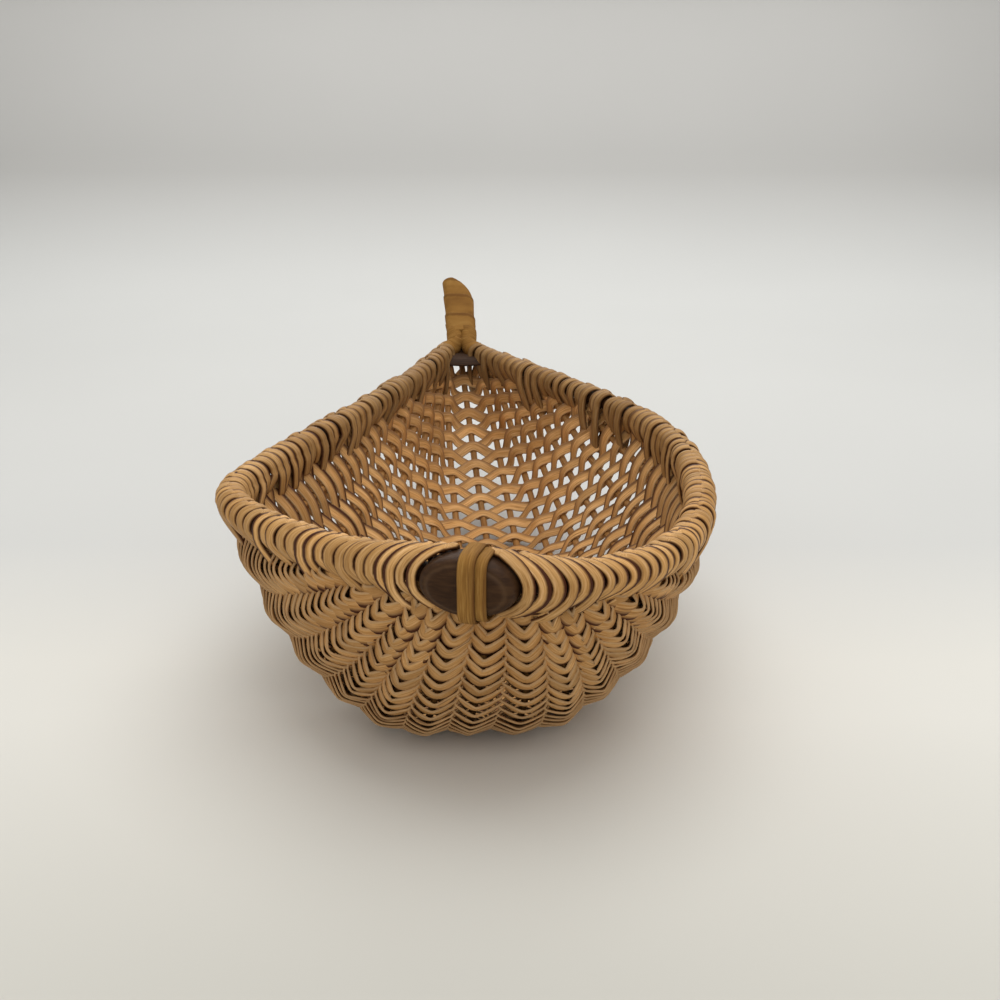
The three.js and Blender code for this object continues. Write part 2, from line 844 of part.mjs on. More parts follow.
function closedSkin(rings) {
  const sides = rings[0].length;
  const positions = rings.flat().flatMap((point) => [point.x, point.y, point.z]);
  const faces = [];
  for (let i = 0; i < rings.length; i += 1) {
    const next = (i + 1) % rings.length;
    for (let k = 0; k < sides; k += 1) {
      const turn = (k + 1) % sides;
      const a = i * sides + k;
      const b = i * sides + turn;
      faces.push(a, b, next * sides + turn, a, next * sides + turn, next * sides + k);
    }
  }
  if (signedVolume(positions, faces) < 0) faces.reverse();
  const geometry = new THREE.BufferGeometry();
  geometry.setAttribute("position", new THREE.Float32BufferAttribute(positions, 3));
  geometry.setIndex(faces);
  geometry.computeVertexNormals();
  return geometry;
}

addPiece("rim_hoop", makeHoop(), rodColor, caneRoughness);
addPiece("rim_winding_left", makeRimWinding("left"), caneColor, windingRoughness);
addPiece("rim_winding_right", makeRimWinding("right"), caneColor, windingRoughness);
addPiece("throat_lashing", makeLashing(), paleCaneColor, windingRoughness);
addPiece("stem_winding", makeStemWinding(), paleCaneColor, windingRoughness);
addPiece("blossom_boss", makeBoss(), bossColor, bossRoughness);
addPiece("boss_strap_over", makeStrap(strapShift - strapStep / 2, 1), paleCaneColor, windingRoughness);
addPiece("boss_strap_under", makeStrap(strapShift + strapStep / 2, 0), paleCaneColor, windingRoughness);
for (const index of ribIndices) {
  const label = index === 0 ? "rib_keel" : `rib_${index < 0 ? "left" : "right"}_${Math.abs(index)}`;
  addPiece(label, makeRib(index), ribColor, caneRoughness);
}
for (let row = 0; row < rowCount; row += 1) {
  addPiece(`weaver_${String(row + 1).padStart(2, "0")}`, makeRow(row), caneColor, caneRoughness);
}

// The origin is on the table under the middle of the basket
basket.updateMatrixWorld(true);
const extent = new THREE.Box3().setFromObject(basket);
basket.position.set(-(extent.min.x + extent.max.x) / 2, -(extent.min.y + extent.max.y) / 2, 0);
basket.updateMatrixWorld(true);

export default basket;
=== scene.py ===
import math
import bmesh
import bpy
import numpy as np
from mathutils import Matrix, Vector


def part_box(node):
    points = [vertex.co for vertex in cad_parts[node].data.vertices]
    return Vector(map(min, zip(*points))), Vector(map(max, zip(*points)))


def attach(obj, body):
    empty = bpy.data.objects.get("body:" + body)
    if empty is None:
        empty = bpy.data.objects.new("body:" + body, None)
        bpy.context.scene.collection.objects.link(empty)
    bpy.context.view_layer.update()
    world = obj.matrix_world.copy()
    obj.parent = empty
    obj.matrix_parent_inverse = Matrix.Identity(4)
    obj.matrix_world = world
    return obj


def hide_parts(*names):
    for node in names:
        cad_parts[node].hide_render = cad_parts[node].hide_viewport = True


# Banana-shaped rib basket of split cane. The curves below are in millimetres, in the basket's
# own measure; meshes are written in metres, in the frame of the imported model.

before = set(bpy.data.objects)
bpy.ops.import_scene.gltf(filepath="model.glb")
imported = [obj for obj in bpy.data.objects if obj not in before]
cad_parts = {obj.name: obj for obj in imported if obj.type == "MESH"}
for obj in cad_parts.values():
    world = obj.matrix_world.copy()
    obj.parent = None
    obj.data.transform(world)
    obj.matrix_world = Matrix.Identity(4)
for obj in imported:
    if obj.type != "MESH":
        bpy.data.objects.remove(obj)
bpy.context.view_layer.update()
print("frame loaded:", len(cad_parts), "nodes")

# Line of the rim, the stem and the keel; -1 is the left side, 1 the right side
rimShape = {
    "frontReach": 151.5, "frontOffset": 9.0,
    "reach": {-1: 89.5, 1: 70.5}, "widestY": {-1: -72.5, 1: -28.0},
    "height": {-1: 72.0, 1: 68.0}, "frontHeight": 72.0, "throatHeight": 72.5,
    "throatY": 150.0, "throatX": -19.8, "throatHalfGap": 7.8,
    "frontHandle": {-1: 32.5, 1: 34.5}, "shoulderHandle": {-1: 34.0, 1: 80.0},
    "waistHandle": {-1: 25.0, 1: 65.0}, "throatHandle": {-1: 100.0, 1: 100.0},
    "throatAngle": {-1: 9.0, 1: 28.0},
    "rodRadius": 3.0, "rodSides": 8, "bossOffset": 16.5,
}
stemShape = {
    "forward": 9.0, "rise": 5.5, "lean": 45.0, "length": 36.0, "shortEnd": 9.0,
    "drift": -3.0, "bendHandle": 7.0, "legGap": 0.5,
}
keelShape = {
    "dropFront": 17.5, "insetFront": 5.0, "frontFall": 32.0, "frontRun": 28.0, "frontLean": 7.0,
    "bellyStartY": -92.0, "bellyEndY": 40.0, "bellyHeight": 2.7, "rearRun": 40.0,
    "dropThroat": 7.5, "reachThroat": 4.0, "rearFall": 36.0, "rearBack": 30.0,
    "bellyHalfWidth": 19.0, "mostFlatShare": 0.36, "sectionPower": 1.58,
}


def bezier(a, b, c, d, count=90):
    t = np.linspace(0.0, 1.0, count + 1)[:, None]
    a, b, c, d = (np.array(p, float) for p in (a, b, c, d))
    return a * (1 - t) ** 3 + 3 * b * t * (1 - t) ** 2 + 3 * c * t * t * (1 - t) + d * t ** 3


class Trail:  # a line through points, read by the length along it
    def __init__(self, *runs):
        self.points = np.concatenate([runs[0]] + [run[1:] for run in runs[1:]])
        steps = np.linalg.norm(np.diff(self.points, axis=0), axis=1)
        self.marks = np.concatenate([[0.0], np.cumsum(steps)])
        self.length = self.marks[-1]

    def at(self, marks):
        marks = np.atleast_1d(np.asarray(marks, float))
        low = np.searchsorted(self.marks, marks, side="right") - 1
        low = np.clip(low, 0, len(self.marks) - 2)
        share = (marks - self.marks[low]) / (self.marks[low + 1] - self.marks[low])
        return self.points[low] + (self.points[low + 1] - self.points[low]) * share[:, None]

    def direction(self, marks, reach=1.5):
        ahead = self.at(np.minimum(np.asarray(marks) + reach, self.length))
        behind = self.at(np.maximum(np.asarray(marks) - reach, 0.0))
        return unit(ahead - behind)


def unit(vectors):
    return vectors / np.maximum(np.linalg.norm(vectors, axis=-1, keepdims=True), 1e-9)


def smooth(x, start, end):
    share = np.clip((np.asarray(x, float) - start) / (end - start), 0, 1)
    return share * share * (3 - 2 * share)


def hoopHalf(side):
    shape = rimShape
    angle = math.radians(shape["throatAngle"][side])
    inward = np.array([-side * math.sin(angle), math.cos(angle), 0.0])
    front = np.array([shape["frontOffset"], -shape["frontReach"], shape["frontHeight"]])
    widest = np.array([side * shape["reach"][side], shape["widestY"][side], shape["height"][side]])
    throat = np.array([shape["throatX"] + side * shape["throatHalfGap"],
                       shape["throatY"], shape["throatHeight"]])
    rim = Trail(
        bezier(front, front + [side * shape["frontHandle"][side], 0, 0],
               widest - [0, shape["shoulderHandle"][side], 0], widest),
        bezier(widest, widest + [0, shape["waistHandle"][side], 0],
               throat - inward * shape["throatHandle"][side], throat),
    )
    stem = stemShape
    legX = shape["rodRadius"] + stem["legGap"] / 2
    base = np.array([shape["throatX"] + side * legX, shape["throatY"] + stem["forward"],
                     shape["throatHeight"] + stem["rise"]])
    lean = math.radians(stem["lean"])
    length = stem["length"] if side < 0 else stem["length"] - stem["shortEnd"]
    tip = base + np.array([stem["drift"] * length / stem["length"],
                           math.sin(lean) * length, math.cos(lean) * length])
    drift = (tip - base) / np.linalg.norm(tip - base)
    handle = stem["bendHandle"]
    turn = bezier(throat, throat + inward * handle, base - drift * handle, base)
    straight = base + (tip - base) * np.linspace(0, 1, 19)[:, None]
    return {"rim": rim, "turn": Trail(turn), "leg": Trail(turn, straight)}


halves = {side: hoopHalf(side) for side in (-1, 1)}
hoop = Trail(halves[-1]["leg"].points[::-1], halves[-1]["rim"].points[::-1],
             halves[1]["rim"].points, halves[1]["leg"].points)
frontMark = halves[-1]["leg"].length + halves[-1]["rim"].length
bossMark = frontMark - rimShape["bossOffset"]

# The basket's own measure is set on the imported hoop, which has the same line and eight sides
hoopLow, hoopHigh = (Vector(corner) * 1000 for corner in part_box("rim_hoop"))
shift = np.array([
    (hoopLow.x + hoopHigh.x) / 2 - (hoop.points[:, 0].min() + hoop.points[:, 0].max()) / 2,
    hoopLow.y + rimShape["rodRadius"] * math.cos(math.pi / rimShape["rodSides"])
    - hoop.points[:, 1].min(),
    0.0,
])
print("shift of the basket in the frame, mm:", [round(float(v), 2) for v in shift])


def toFrame(points):
    return (np.asarray(points, float) + shift) / 1000


def keelLine():
    shape = keelShape
    front = np.array([0, -rimShape["frontReach"] + shape["insetFront"],
                      rimShape["frontHeight"] - shape["dropFront"]])
    start = np.array([0, shape["bellyStartY"], shape["bellyHeight"]])
    end = np.array([0, shape["bellyEndY"], shape["bellyHeight"]])
    rear = np.array([0, rimShape["throatY"] + shape["reachThroat"],
                     rimShape["throatHeight"] - shape["dropThroat"]])
    return Trail(
        bezier(front, front + [0, shape["frontLean"], -shape["frontFall"]],
               start - [0, shape["frontRun"], 0], start),
        np.array([start, end]),
        bezier(end, end + [0, shape["rearRun"], 0],
               rear + [0, -shape["rearBack"], -shape["rearFall"]], rear),
    )


# Surface that the weave lies in: station t runs from the blunt end to the throat,
# place u from the left rim (-1) to the right rim (1)
weaveShape = {
    "startLeft": 71.0, "startRight": 49.0, "lastStation": 0.986, "cadRows": 34,
    "ribsPerSide": 6, "sideRibSpread": 0.1, "ribHoldStation": 0.55, "ribFan": 0.05,
    "ribFanReach": 0.45, "ribFanEnd": 0.2, "ribSlimming": 0.165, "ribRadius": 1.55,
    "frontRib": 0.7, "frontRibFade": (0.1, 0.3), "gridStart": -0.1, "gridRows": 331,
    "gridColumns": 281, "blurPasses": 6, "rearBlurPasses": 160, "rearBlurFade": (0.58, 0.72),
    "leftInset": 3.4, "leftInsetFade": (0.3, 0.6),
}
stationStep = weaveShape["lastStation"] / (weaveShape["cadRows"] - 1)
keel = keelLine()
stations = np.linspace(weaveShape["gridStart"], 1.0, weaveShape["gridRows"])
places = np.linspace(-1.0, 1.0, weaveShape["gridColumns"])


def crossSection(t):
    shape = keelShape
    rims = []
    for side, start in ((-1, weaveShape["startLeft"]), (1, weaveShape["startRight"])):
        rim = halves[side]["rim"]
        rims.append(rim.at(start + (rim.length - start) * t)[0])
    left, right = rims
    middle = (left + right) / 2
    low = keel.at(keel.length * t)[0].copy()
    low[0] = middle[0]
    across = (right - left) / 2
    flat = min(shape["bellyHalfWidth"] / np.linalg.norm(across), shape["mostFlatShare"])
    turn = (np.linspace(0, 1, 97) - 0.5) * math.pi
    power = 2 / shape["sectionPower"]
    reach = np.sign(turn) * (flat + (1 - flat) * np.abs(np.sin(turn)) ** power)
    depth = np.abs(np.cos(turn)) ** power
    points = middle + across * reach[:, None] + (low - middle) * depth[:, None]
    points[:, 2] -= across[2] * reach * depth
    onTable = points[:, 2] < shape["bellyHeight"] + 0.1
    points[:, 2] = np.where(onTable, shape["bellyHeight"], points[:, 2])
    section = Trail(points)
    return section.at((places + 1) / 2 * section.length), section.length


def blur(grid, axis, passes):
    for _ in range(passes):
        ahead, behind = np.roll(grid, -1, axis), np.roll(grid, 1, axis)
        first = [slice(None)] * grid.ndim
        last = [slice(None)] * grid.ndim
        first[axis], last[axis] = 0, -1
        soft = (ahead + 2 * grid + behind) / 4
        soft[tuple(first)], soft[tuple(last)] = grid[tuple(first)], grid[tuple(last)]
        grid = soft
    return grid


sections = [crossSection(t) for t in stations]
skinPoints = blur(np.array([points for points, _ in sections]), 1, weaveShape["blurPasses"])
softer = blur(skinPoints, 1, weaveShape["rearBlurPasses"])
# the rear is softened, and on the left the near wall lies a little further in
skinPoints += (softer - skinPoints) * smooth(stations, *weaveShape["rearBlurFade"])[:, None, None]
leftShare = np.sqrt(np.sin(math.pi * np.clip(-places, 0.0, 1.0)).clip(0.0))
leftFade = 1 - smooth(stations, *weaveShape["leftInsetFade"])
skinPoints[..., 0] += weaveShape["leftInset"] * leftShare * leftFade[:, None]
sectionLengths = np.array([length for _, length in sections])
skinAlong = unit(np.gradient(skinPoints, axis=0))
skinOut = np.cross(skinAlong, unit(np.gradient(skinPoints, axis=1)))
skinOut = unit(blur(skinOut, 1, weaveShape["blurPasses"]))


def onSkin(grid, t, u):
    t, u = np.broadcast_arrays(np.asarray(t, float), np.asarray(u, float))
    row = np.clip((t - stations[0]) / (stations[1] - stations[0]), 0, len(stations) - 1.001)
    column = np.clip((u + 1) / (places[1] - places[0]), 0, len(places) - 1.001)
    i, j = row.astype(int), column.astype(int)
    a, b = (row - i)[..., None], (column - j)[..., None]
    low = grid[i, j] * (1 - b) + grid[i, j + 1] * b
    high = grid[i + 1, j] * (1 - b) + grid[i + 1, j + 1] * b
    return low * (1 - a) + high * a


def ribPlace(index, t):  # place of a rib, which may lie between two whole numbers
    shape = weaveShape
    share = np.asarray(index, float) / (shape["ribsPerSide"] + 1)
    even = share * (1 - shape["sideRibSpread"] + shape["sideRibSpread"] * share * share)
    bulge = np.sin(math.pi * np.minimum(1, np.abs(share) / shape["ribFanReach"]))
    fading = 1 - smooth(t, 0, shape["ribFanEnd"])
    spread = even + np.sign(share) * shape["ribFan"] * bulge * fading
    held = np.interp(shape["ribHoldStation"], stations, sectionLengths)
    here = np.interp(t, stations, sectionLengths)
    return spread * np.where(np.asarray(t) < shape["ribHoldStation"], 1.0, held / here)


def ribRadiusAt(t):
    pitch = ribPlace(1, t) / 2 * np.interp(t, stations, sectionLengths)
    full = np.minimum(weaveShape["ribRadius"], weaveShape["ribSlimming"] * pitch)
    slim = weaveShape["frontRib"]
    return full * (slim + (1 - slim) * smooth(t, *weaveShape["frontRibFade"]))


rimCane = {
    "radiusFront": 5.85, "radiusThroat": 4.95, "swellRadius": 7.2, "swellRun": 26.0,
    "bossHalfLength": 15.0,
}


def rimRadius(marks):
    marks = np.asarray(marks, float)
    fromBoss = np.maximum(0, np.abs(marks - bossMark) - rimCane["bossHalfLength"])
    half = np.where(marks < frontMark, halves[-1]["rim"].length, halves[1]["rim"].length)
    along = np.minimum(1, np.abs(marks - frontMark) / half)
    plain = rimCane["radiusFront"] + (rimCane["radiusThroat"] - rimCane["radiusFront"]) * along
    swell = 1 - smooth(fromBoss, 0, rimCane["swellRun"])
    return plain + (rimCane["swellRadius"] - plain) * swell


watchMarks = np.arange(0, hoop.length, 2.0)
watchPoints, watchRadii = hoop.at(watchMarks), rimRadius(watchMarks)


def rimClearance(points):
    gaps = np.linalg.norm(points[:, None, :] - watchPoints[None], axis=2) - watchRadii[None]
    return gaps.min(axis=1)


print("surface ready, section lengths", [round(float(v)) for v in sectionLengths[::66]])


# Node trees: flat cane along a guide, cane wound round a guide, round stock
def startTree(name, sizes):
    tree = bpy.data.node_groups.new(name, "GeometryNodeTree")
    tree.interface.new_socket("Guide", in_out="INPUT", socket_type="NodeSocketGeometry")
    for label, kind, value in sizes:
        socket = tree.interface.new_socket(label, in_out="INPUT", socket_type="NodeSocket" + kind)
        if value is not None:
            socket.default_value = value
    tree.interface.new_socket("Made", in_out="OUTPUT", socket_type="NodeSocketGeometry")
    return tree, tree.nodes.new("NodeGroupInput").outputs


def add(tree, kind, inputs=None, **settings):
    node = tree.nodes.new(kind)
    for key, value in settings.items():
        setattr(node, key, value)
    for key, value in (inputs or {}).items():
        if isinstance(value, bpy.types.NodeSocket):
            tree.links.new(value, node.inputs[key])
        else:
            node.inputs[key].default_value = value
    return node


def calc(tree, operation, a, b=0.0, c=0.0):
    return add(tree, "ShaderNodeMath", {0: a, 1: b, 2: c}, operation=operation).outputs[0]


def product(tree, *factors):
    result = factors[0]
    for factor in factors[1:]:
        result = calc(tree, "MULTIPLY", result, factor)
    return result


def total(tree, *parts):
    result = parts[0]
    for part in parts[1:]:
        result = calc(tree, "ADD", result, part)
    return result


def times(tree, vector, factor):
    return add(tree, "ShaderNodeVectorMath", {0: vector, "Scale": factor},
               operation="SCALE").outputs[0]


def plus(tree, *vectors):
    result = vectors[0]
    for vector in vectors[1:]:
        result = add(tree, "ShaderNodeVectorMath", {0: result, 1: vector},
                     operation="ADD").outputs[0]
    return result


def mapped(tree, value, start, end, low=0.0, high=1.0, kind="LINEAR"):
    return add(tree, "ShaderNodeMapRange", {
        "Value": value, "From Min": start, "From Max": end, "To Min": low, "To Max": high},
        interpolation_type=kind).outputs[0]


def named(tree, name, kind="FLOAT"):
    return add(tree, "GeometryNodeInputNamedAttribute", {"Name": name}, data_type=kind).outputs[0]


def store(tree, geometry, name, value, kind="FLOAT"):
    return add(tree, "GeometryNodeStoreNamedAttribute",
               {"Geometry": geometry, "Name": name, "Value": value},
               data_type=kind, domain="POINT").outputs[0]


def capture(tree, geometry, **values):
    held = add(tree, "GeometryNodeCaptureAttribute", {"Geometry": geometry})
    for label, (kind, value) in values.items():
        held.capture_items.new(kind, label)
        tree.links.new(value, held.inputs[label])
    return held.outputs


caneSection = {
    "corners": 12, "acrossPower": 0.62, "liftPower": 0.38, "wanderScale": 55.0,
    "knobScale": 120.0, "roundGrain": 1.5,
}


def flatProfile(tree):  # a flat section with rounded corners, in "across" and "lift"
    corners = caneSection["corners"]
    ring = add(tree, "GeometryNodeCurvePrimitiveCircle", {"Resolution": corners, "Radius": 1.0})
    step = 2 * math.pi / corners
    turn = calc(tree, "MULTIPLY", add(tree, "GeometryNodeInputIndex").outputs[0], step)
    turn = calc(tree, "ADD", turn, step / 2)

    def rounded(value, power):
        return product(tree, calc(tree, "SIGN", value),
                       calc(tree, "POWER", calc(tree, "ABSOLUTE", value), power))

    profile = store(tree, ring.outputs["Curve"], "across",
                    rounded(calc(tree, "COSINE", turn), caneSection["acrossPower"]))
    profile = store(tree, profile, "lift",
                    rounded(calc(tree, "SINE", turn), caneSection["liftPower"]))
    spot = add(tree, "ShaderNodeCombineXYZ", {"Y": named(tree, "across")}).outputs[0]
    return add(tree, "GeometryNodeSetPosition", {"Geometry": profile, "Position": spot}).outputs[0]


def thickenAndFinish(tree, entry, curve, halfWidth, tone):
    # the curve carries its own normals; the cane keeps one thickness whatever its width
    held = capture(
        tree, curve, Up=("VECTOR", add(tree, "GeometryNodeInputNormal").outputs[0]),
        Length=("FLOAT", add(tree, "GeometryNodeSplineParameter").outputs["Length"]),
        Half=("FLOAT", halfWidth), Tone=("FLOAT", tone))
    body = add(tree, "GeometryNodeCurveToMesh", {
        "Curve": held["Geometry"], "Profile Curve": flatProfile(tree),
        "Scale": held["Half"], "Fill Caps": True})
    across, lift = named(tree, "across"), named(tree, "lift")
    bow = calc(tree, "SUBTRACT", 1.0, product(tree, across, across))
    rise = total(tree, product(tree, lift, entry["Thickness"], 0.5),
                 product(tree, bow, entry["Crown"]))
    moved = add(tree, "GeometryNodeSetPosition", {
        "Geometry": body.outputs[0], "Offset": times(tree, held["Up"], rise)})
    grain = add(tree, "ShaderNodeCombineXYZ", {
        "X": product(tree, across, held["Half"], 1000.0),
        "Y": product(tree, held["Length"], 1000.0), "Z": held["Tone"]}).outputs[0]
    made = store(tree, moved.outputs[0], "grain", grain, "FLOAT_VECTOR")
    # the sign of edge, set by Dark Side, chooses which edge of the cane the material darkens with
    # painted shade
    made = store(tree, made, "edge", product(tree, across, entry["Dark Side"]))
    return closeTree(tree, entry, made)


def closeTree(tree, entry, geometry):
    shaded = add(tree, "GeometryNodeSetShadeSmooth", {"Geometry": geometry})
    real = add(tree, "GeometryNodeRealizeInstances", {"Geometry": shaded.outputs[0]})
    faced = add(tree, "GeometryNodeSetMaterial", {
        "Geometry": real.outputs[0], "Material": entry["Material"]})
    out = tree.nodes.new("NodeGroupOutput")
    tree.links.new(faced.outputs[0], out.inputs["Made"])
    return tree


def stripTree():
    tree, entry = startTree("Flat cane along a guide", [
        ("Thickness", "Float", 0.0008), ("Crown", "Float", 0.0001), ("Unevenness", "Float", 0.0),
        ("Dark Side", "Float", 1.0), ("Twist", "Float", 0.0), ("Seed", "Int", 1),
        ("Material", "Material", None)])
    curve = add(tree, "GeometryNodeMeshToCurve", {"Mesh": entry["Guide"]}).outputs[0]
    spot = add(tree, "GeometryNodeInputPosition").outputs[0]
    wander = add(tree, "ShaderNodeTexNoise", {
        "Vector": spot, "W": product(tree, entry["Seed"], 3.7),
        "Scale": caneSection["wanderScale"], "Detail": 1.0}, noise_dimensions="4D")
    centred = plus(tree, wander.outputs["Color"], (-0.5, -0.5, -0.5))
    offset = plus(tree, times(tree, named(tree, "outward", "FLOAT_VECTOR"), named(tree, "rise")),
                  times(tree, centred, product(tree, entry["Unevenness"], 2.0)))
    curve = add(tree, "GeometryNodeSetPosition", {"Geometry": curve, "Offset": offset}).outputs[0]
    curve = add(tree, "GeometryNodeSetCurveNormal", {
        "Curve": curve, "Normal": named(tree, "face", "FLOAT_VECTOR")}, mode="FREE").outputs[0]
    twist = product(tree, calc(tree, "SUBTRACT", wander.outputs["Fac"], 0.5), entry["Twist"], 2.0)
    curve = add(tree, "GeometryNodeSetCurveTilt", {"Curve": curve, "Tilt": twist}).outputs[0]
    return thickenAndFinish(tree, entry, curve, named(tree, "halfWidth"), named(tree, "tone"))


# How one wrap lies, in turns and shares; its tail is the part that hangs under the rim
wrapRule = {
    "topTurn": 0.25, "lowTurn": 0.75, "tailFrom": -0.15, "facingPower": 0.7, "leastPitch": 0.0002,
    "looseStart": 0.3, "driftScale": 0.9, "leastDrop": 0.5, "mostDrop": 2.0, "squareness": 3.0,
    "fullWidth": 1.05,
}


def windingTree():
    rule = wrapRule
    tree, entry = startTree("Cane wound round a guide", [
        ("Turns", "Float", 10.0), ("Start Turn", "Float", 0.0), ("Steps", "Int", 28),
        ("Pitch Growth", "Float", 1.01), ("Thickness", "Float", 0.0008),
        ("Crown", "Float", 0.0001), ("Crescent", "Float", 0.0), ("Dark Side", "Float", 1.0),
        ("Boss Push", "Float", 0.0), ("Push Turns", "Float", 5.0), ("Tail Sweep", "Float", 0.0),
        ("Tail Bunch", "Float", 0.01), ("Bunch Share", "Float", 0.0), ("Tail Pinch", "Float", 0.0),
        ("Pitch Jitter", "Float", 0.0), ("Height Jitter", "Float", 0.0),
        ("Width Jitter", "Float", 0.0), ("Seed", "Int", 1), ("Material", "Material", None)])
    guide = add(tree, "GeometryNodeMeshToCurve", {"Mesh": entry["Guide"]}).outputs[0]
    length = add(tree, "GeometryNodeSampleIndex", {
        "Geometry": guide, "Value": add(tree, "GeometryNodeSplineLength").outputs["Length"],
        "Index": 0}, data_type="FLOAT", domain="CURVE").outputs[0]
    made = calc(tree, "SUBTRACT", entry["Turns"], entry["Start Turn"])
    count = total(tree, product(tree, made, entry["Steps"]), 1.0)
    line = add(tree, "GeometryNodeMeshLine", {"Count": count})
    curve = add(tree, "GeometryNodeMeshToCurve", {"Mesh": line.outputs[0]}).outputs[0]
    turn = calc(tree, "DIVIDE", add(tree, "GeometryNodeInputIndex").outputs[0], entry["Steps"])
    turn = total(tree, turn, entry["Start Turn"])
    angle = product(tree, turn, 2 * math.pi)
    cosine, sine = calc(tree, "COSINE", angle), calc(tree, "SINE", angle)

    def markAt(turns):  # the pitch grows along the guide
        share = calc(tree, "DIVIDE", turns, entry["Turns"])
        grown = calc(tree, "SUBTRACT", calc(tree, "POWER", entry["Pitch Growth"], share), 1.0)
        whole = calc(tree, "SUBTRACT", entry["Pitch Growth"], 1.0)
        return product(tree, calc(tree, "DIVIDE", grown, whole), length)

    wrap = calc(tree, "FLOOR", calc(tree, "SUBTRACT", turn, rule["topTurn"]))  # changes on top

    def drawn(offset):  # one even random number for each wrap
        seed = total(tree, entry["Seed"], offset)
        return add(tree, "FunctionNodeRandomValue", {"ID": wrap, "Seed": seed}).outputs[1]

    tail = mapped(tree, sine, rule["tailFrom"], -1.0, kind="SMOOTHSTEP")
    lowMark = markAt(total(tree, wrap, rule["lowTurn"]))
    bunch = calc(tree, "DIVIDE", lowMark, entry["Tail Bunch"])
    bunch = product(tree, total(tree, calc(tree, "FLOOR", bunch), 0.5), entry["Tail Bunch"])
    pull = product(tree, calc(tree, "SUBTRACT", bunch, lowMark), entry["Bunch Share"])
    drift = add(tree, "ShaderNodeTexNoise", {
        "W": total(tree, product(tree, turn, rule["driftScale"]),
                   product(tree, entry["Seed"], 17.3)),
        "Scale": 1.0, "Detail": 1.0}, noise_dimensions="1D").outputs["Fac"]
    loose = product(tree, calc(tree, "DIVIDE", turn, entry["Turns"]), 1 - rule["looseStart"])
    loose = total(tree, loose, rule["looseStart"])
    fade = calc(tree, "DIVIDE", turn, entry["Push Turns"])
    fade = calc(tree, "EXPONENT", product(tree, fade, -1.0))
    facing = calc(tree, "POWER", calc(tree, "MAXIMUM", cosine, 0.0), rule["facingPower"])
    mark = total(
        tree, markAt(turn),
        product(tree, calc(tree, "SUBTRACT", drift, 0.5), entry["Pitch Jitter"], loose, 2.0),
        product(tree, tail, calc(tree, "SUBTRACT", pull, entry["Tail Sweep"])),
        product(tree, calc(tree, "ABSOLUTE", cosine), entry["Crescent"]),
        product(tree, fade, facing, entry["Boss Push"]))
    mark = calc(tree, "MAXIMUM", mark, product(tree, turn, rule["leastPitch"]))

    def sampled(name, kind="FLOAT"):
        node = add(tree, "GeometryNodeSampleCurve", {"Curves": guide, "Length": mark},
                   mode="LENGTH", data_type=kind)
        tree.links.new(named(tree, name, kind), node.inputs["Value"])
        return node.outputs["Value"]

    spot = add(tree, "GeometryNodeSampleCurve", {"Curves": guide, "Length": mark}, mode="LENGTH",
               data_type="FLOAT").outputs["Position"]
    sideways, upward = sampled("sideways", "FLOAT_VECTOR"), sampled("upward", "FLOAT_VECTOR")
    downward, ahead = sampled("downward", "FLOAT_VECTOR"), sampled("ahead", "FLOAT_VECTOR")
    bump = product(tree, calc(tree, "SUBTRACT", drawn(1), 0.5), entry["Height Jitter"], loose, 2.0)
    core = total(tree, sampled("core"), bump)
    reach = product(tree, core, calc(
        tree, "SUBTRACT", 1.0, product(tree, entry["Tail Pinch"], tail)))
    above = calc(tree, "MAXIMUM", sine, 0.0)
    below = calc(tree, "MAXIMUM", product(tree, sine, -1.0), 0.0)
    luck = drawn(2)
    luck = total(tree, product(tree, luck, luck, luck, rule["mostDrop"]), rule["leastDrop"])
    drop = product(tree, sampled("drop"), luck)
    high = total(tree, core, sampled("tall"))
    low = total(tree, high, drop)
    stretch = calc(tree, "TANH", product(tree, cosine, rule["squareness"]))
    wide = total(tree, product(tree, reach, cosine), product(tree, sampled("spread"), stretch))
    place = plus(tree, spot, times(tree, sideways, wide),
                 times(tree, upward, product(tree, high, above)),
                 times(tree, downward, product(tree, low, below)))
    radial = plus(tree, times(tree, sideways, calc(tree, "DIVIDE", cosine, reach)),
                  times(tree, upward, calc(tree, "DIVIDE", above, high)),
                  times(tree, downward, calc(tree, "DIVIDE", below, low)))
    radial = add(tree, "ShaderNodeVectorMath", {0: radial}, operation="NORMALIZE").outputs[0]
    face = plus(tree, radial, times(tree, ahead, product(tree, sampled("lean"), -1.0)))
    face = add(tree, "ShaderNodeVectorMath", {0: face}, operation="NORMALIZE").outputs[0]
    slim = product(tree, drawn(4), drawn(4), entry["Width Jitter"])
    halfWidth = product(tree, sampled("halfWidth"), calc(
        tree, "SUBTRACT", rule["fullWidth"], slim))
    held = capture(tree, curve, Face=("VECTOR", face), Half=("FLOAT", halfWidth),
                   Tone=("FLOAT", drawn(3)))
    curve = add(tree, "GeometryNodeSetPosition", {
        "Geometry": held["Geometry"], "Position": place}).outputs[0]
    curve = add(tree, "GeometryNodeSetCurveNormal", {
        "Curve": curve, "Normal": held["Face"]}, mode="FREE").outputs[0]
    return thickenAndFinish(tree, entry, curve, held["Half"], held["Tone"])


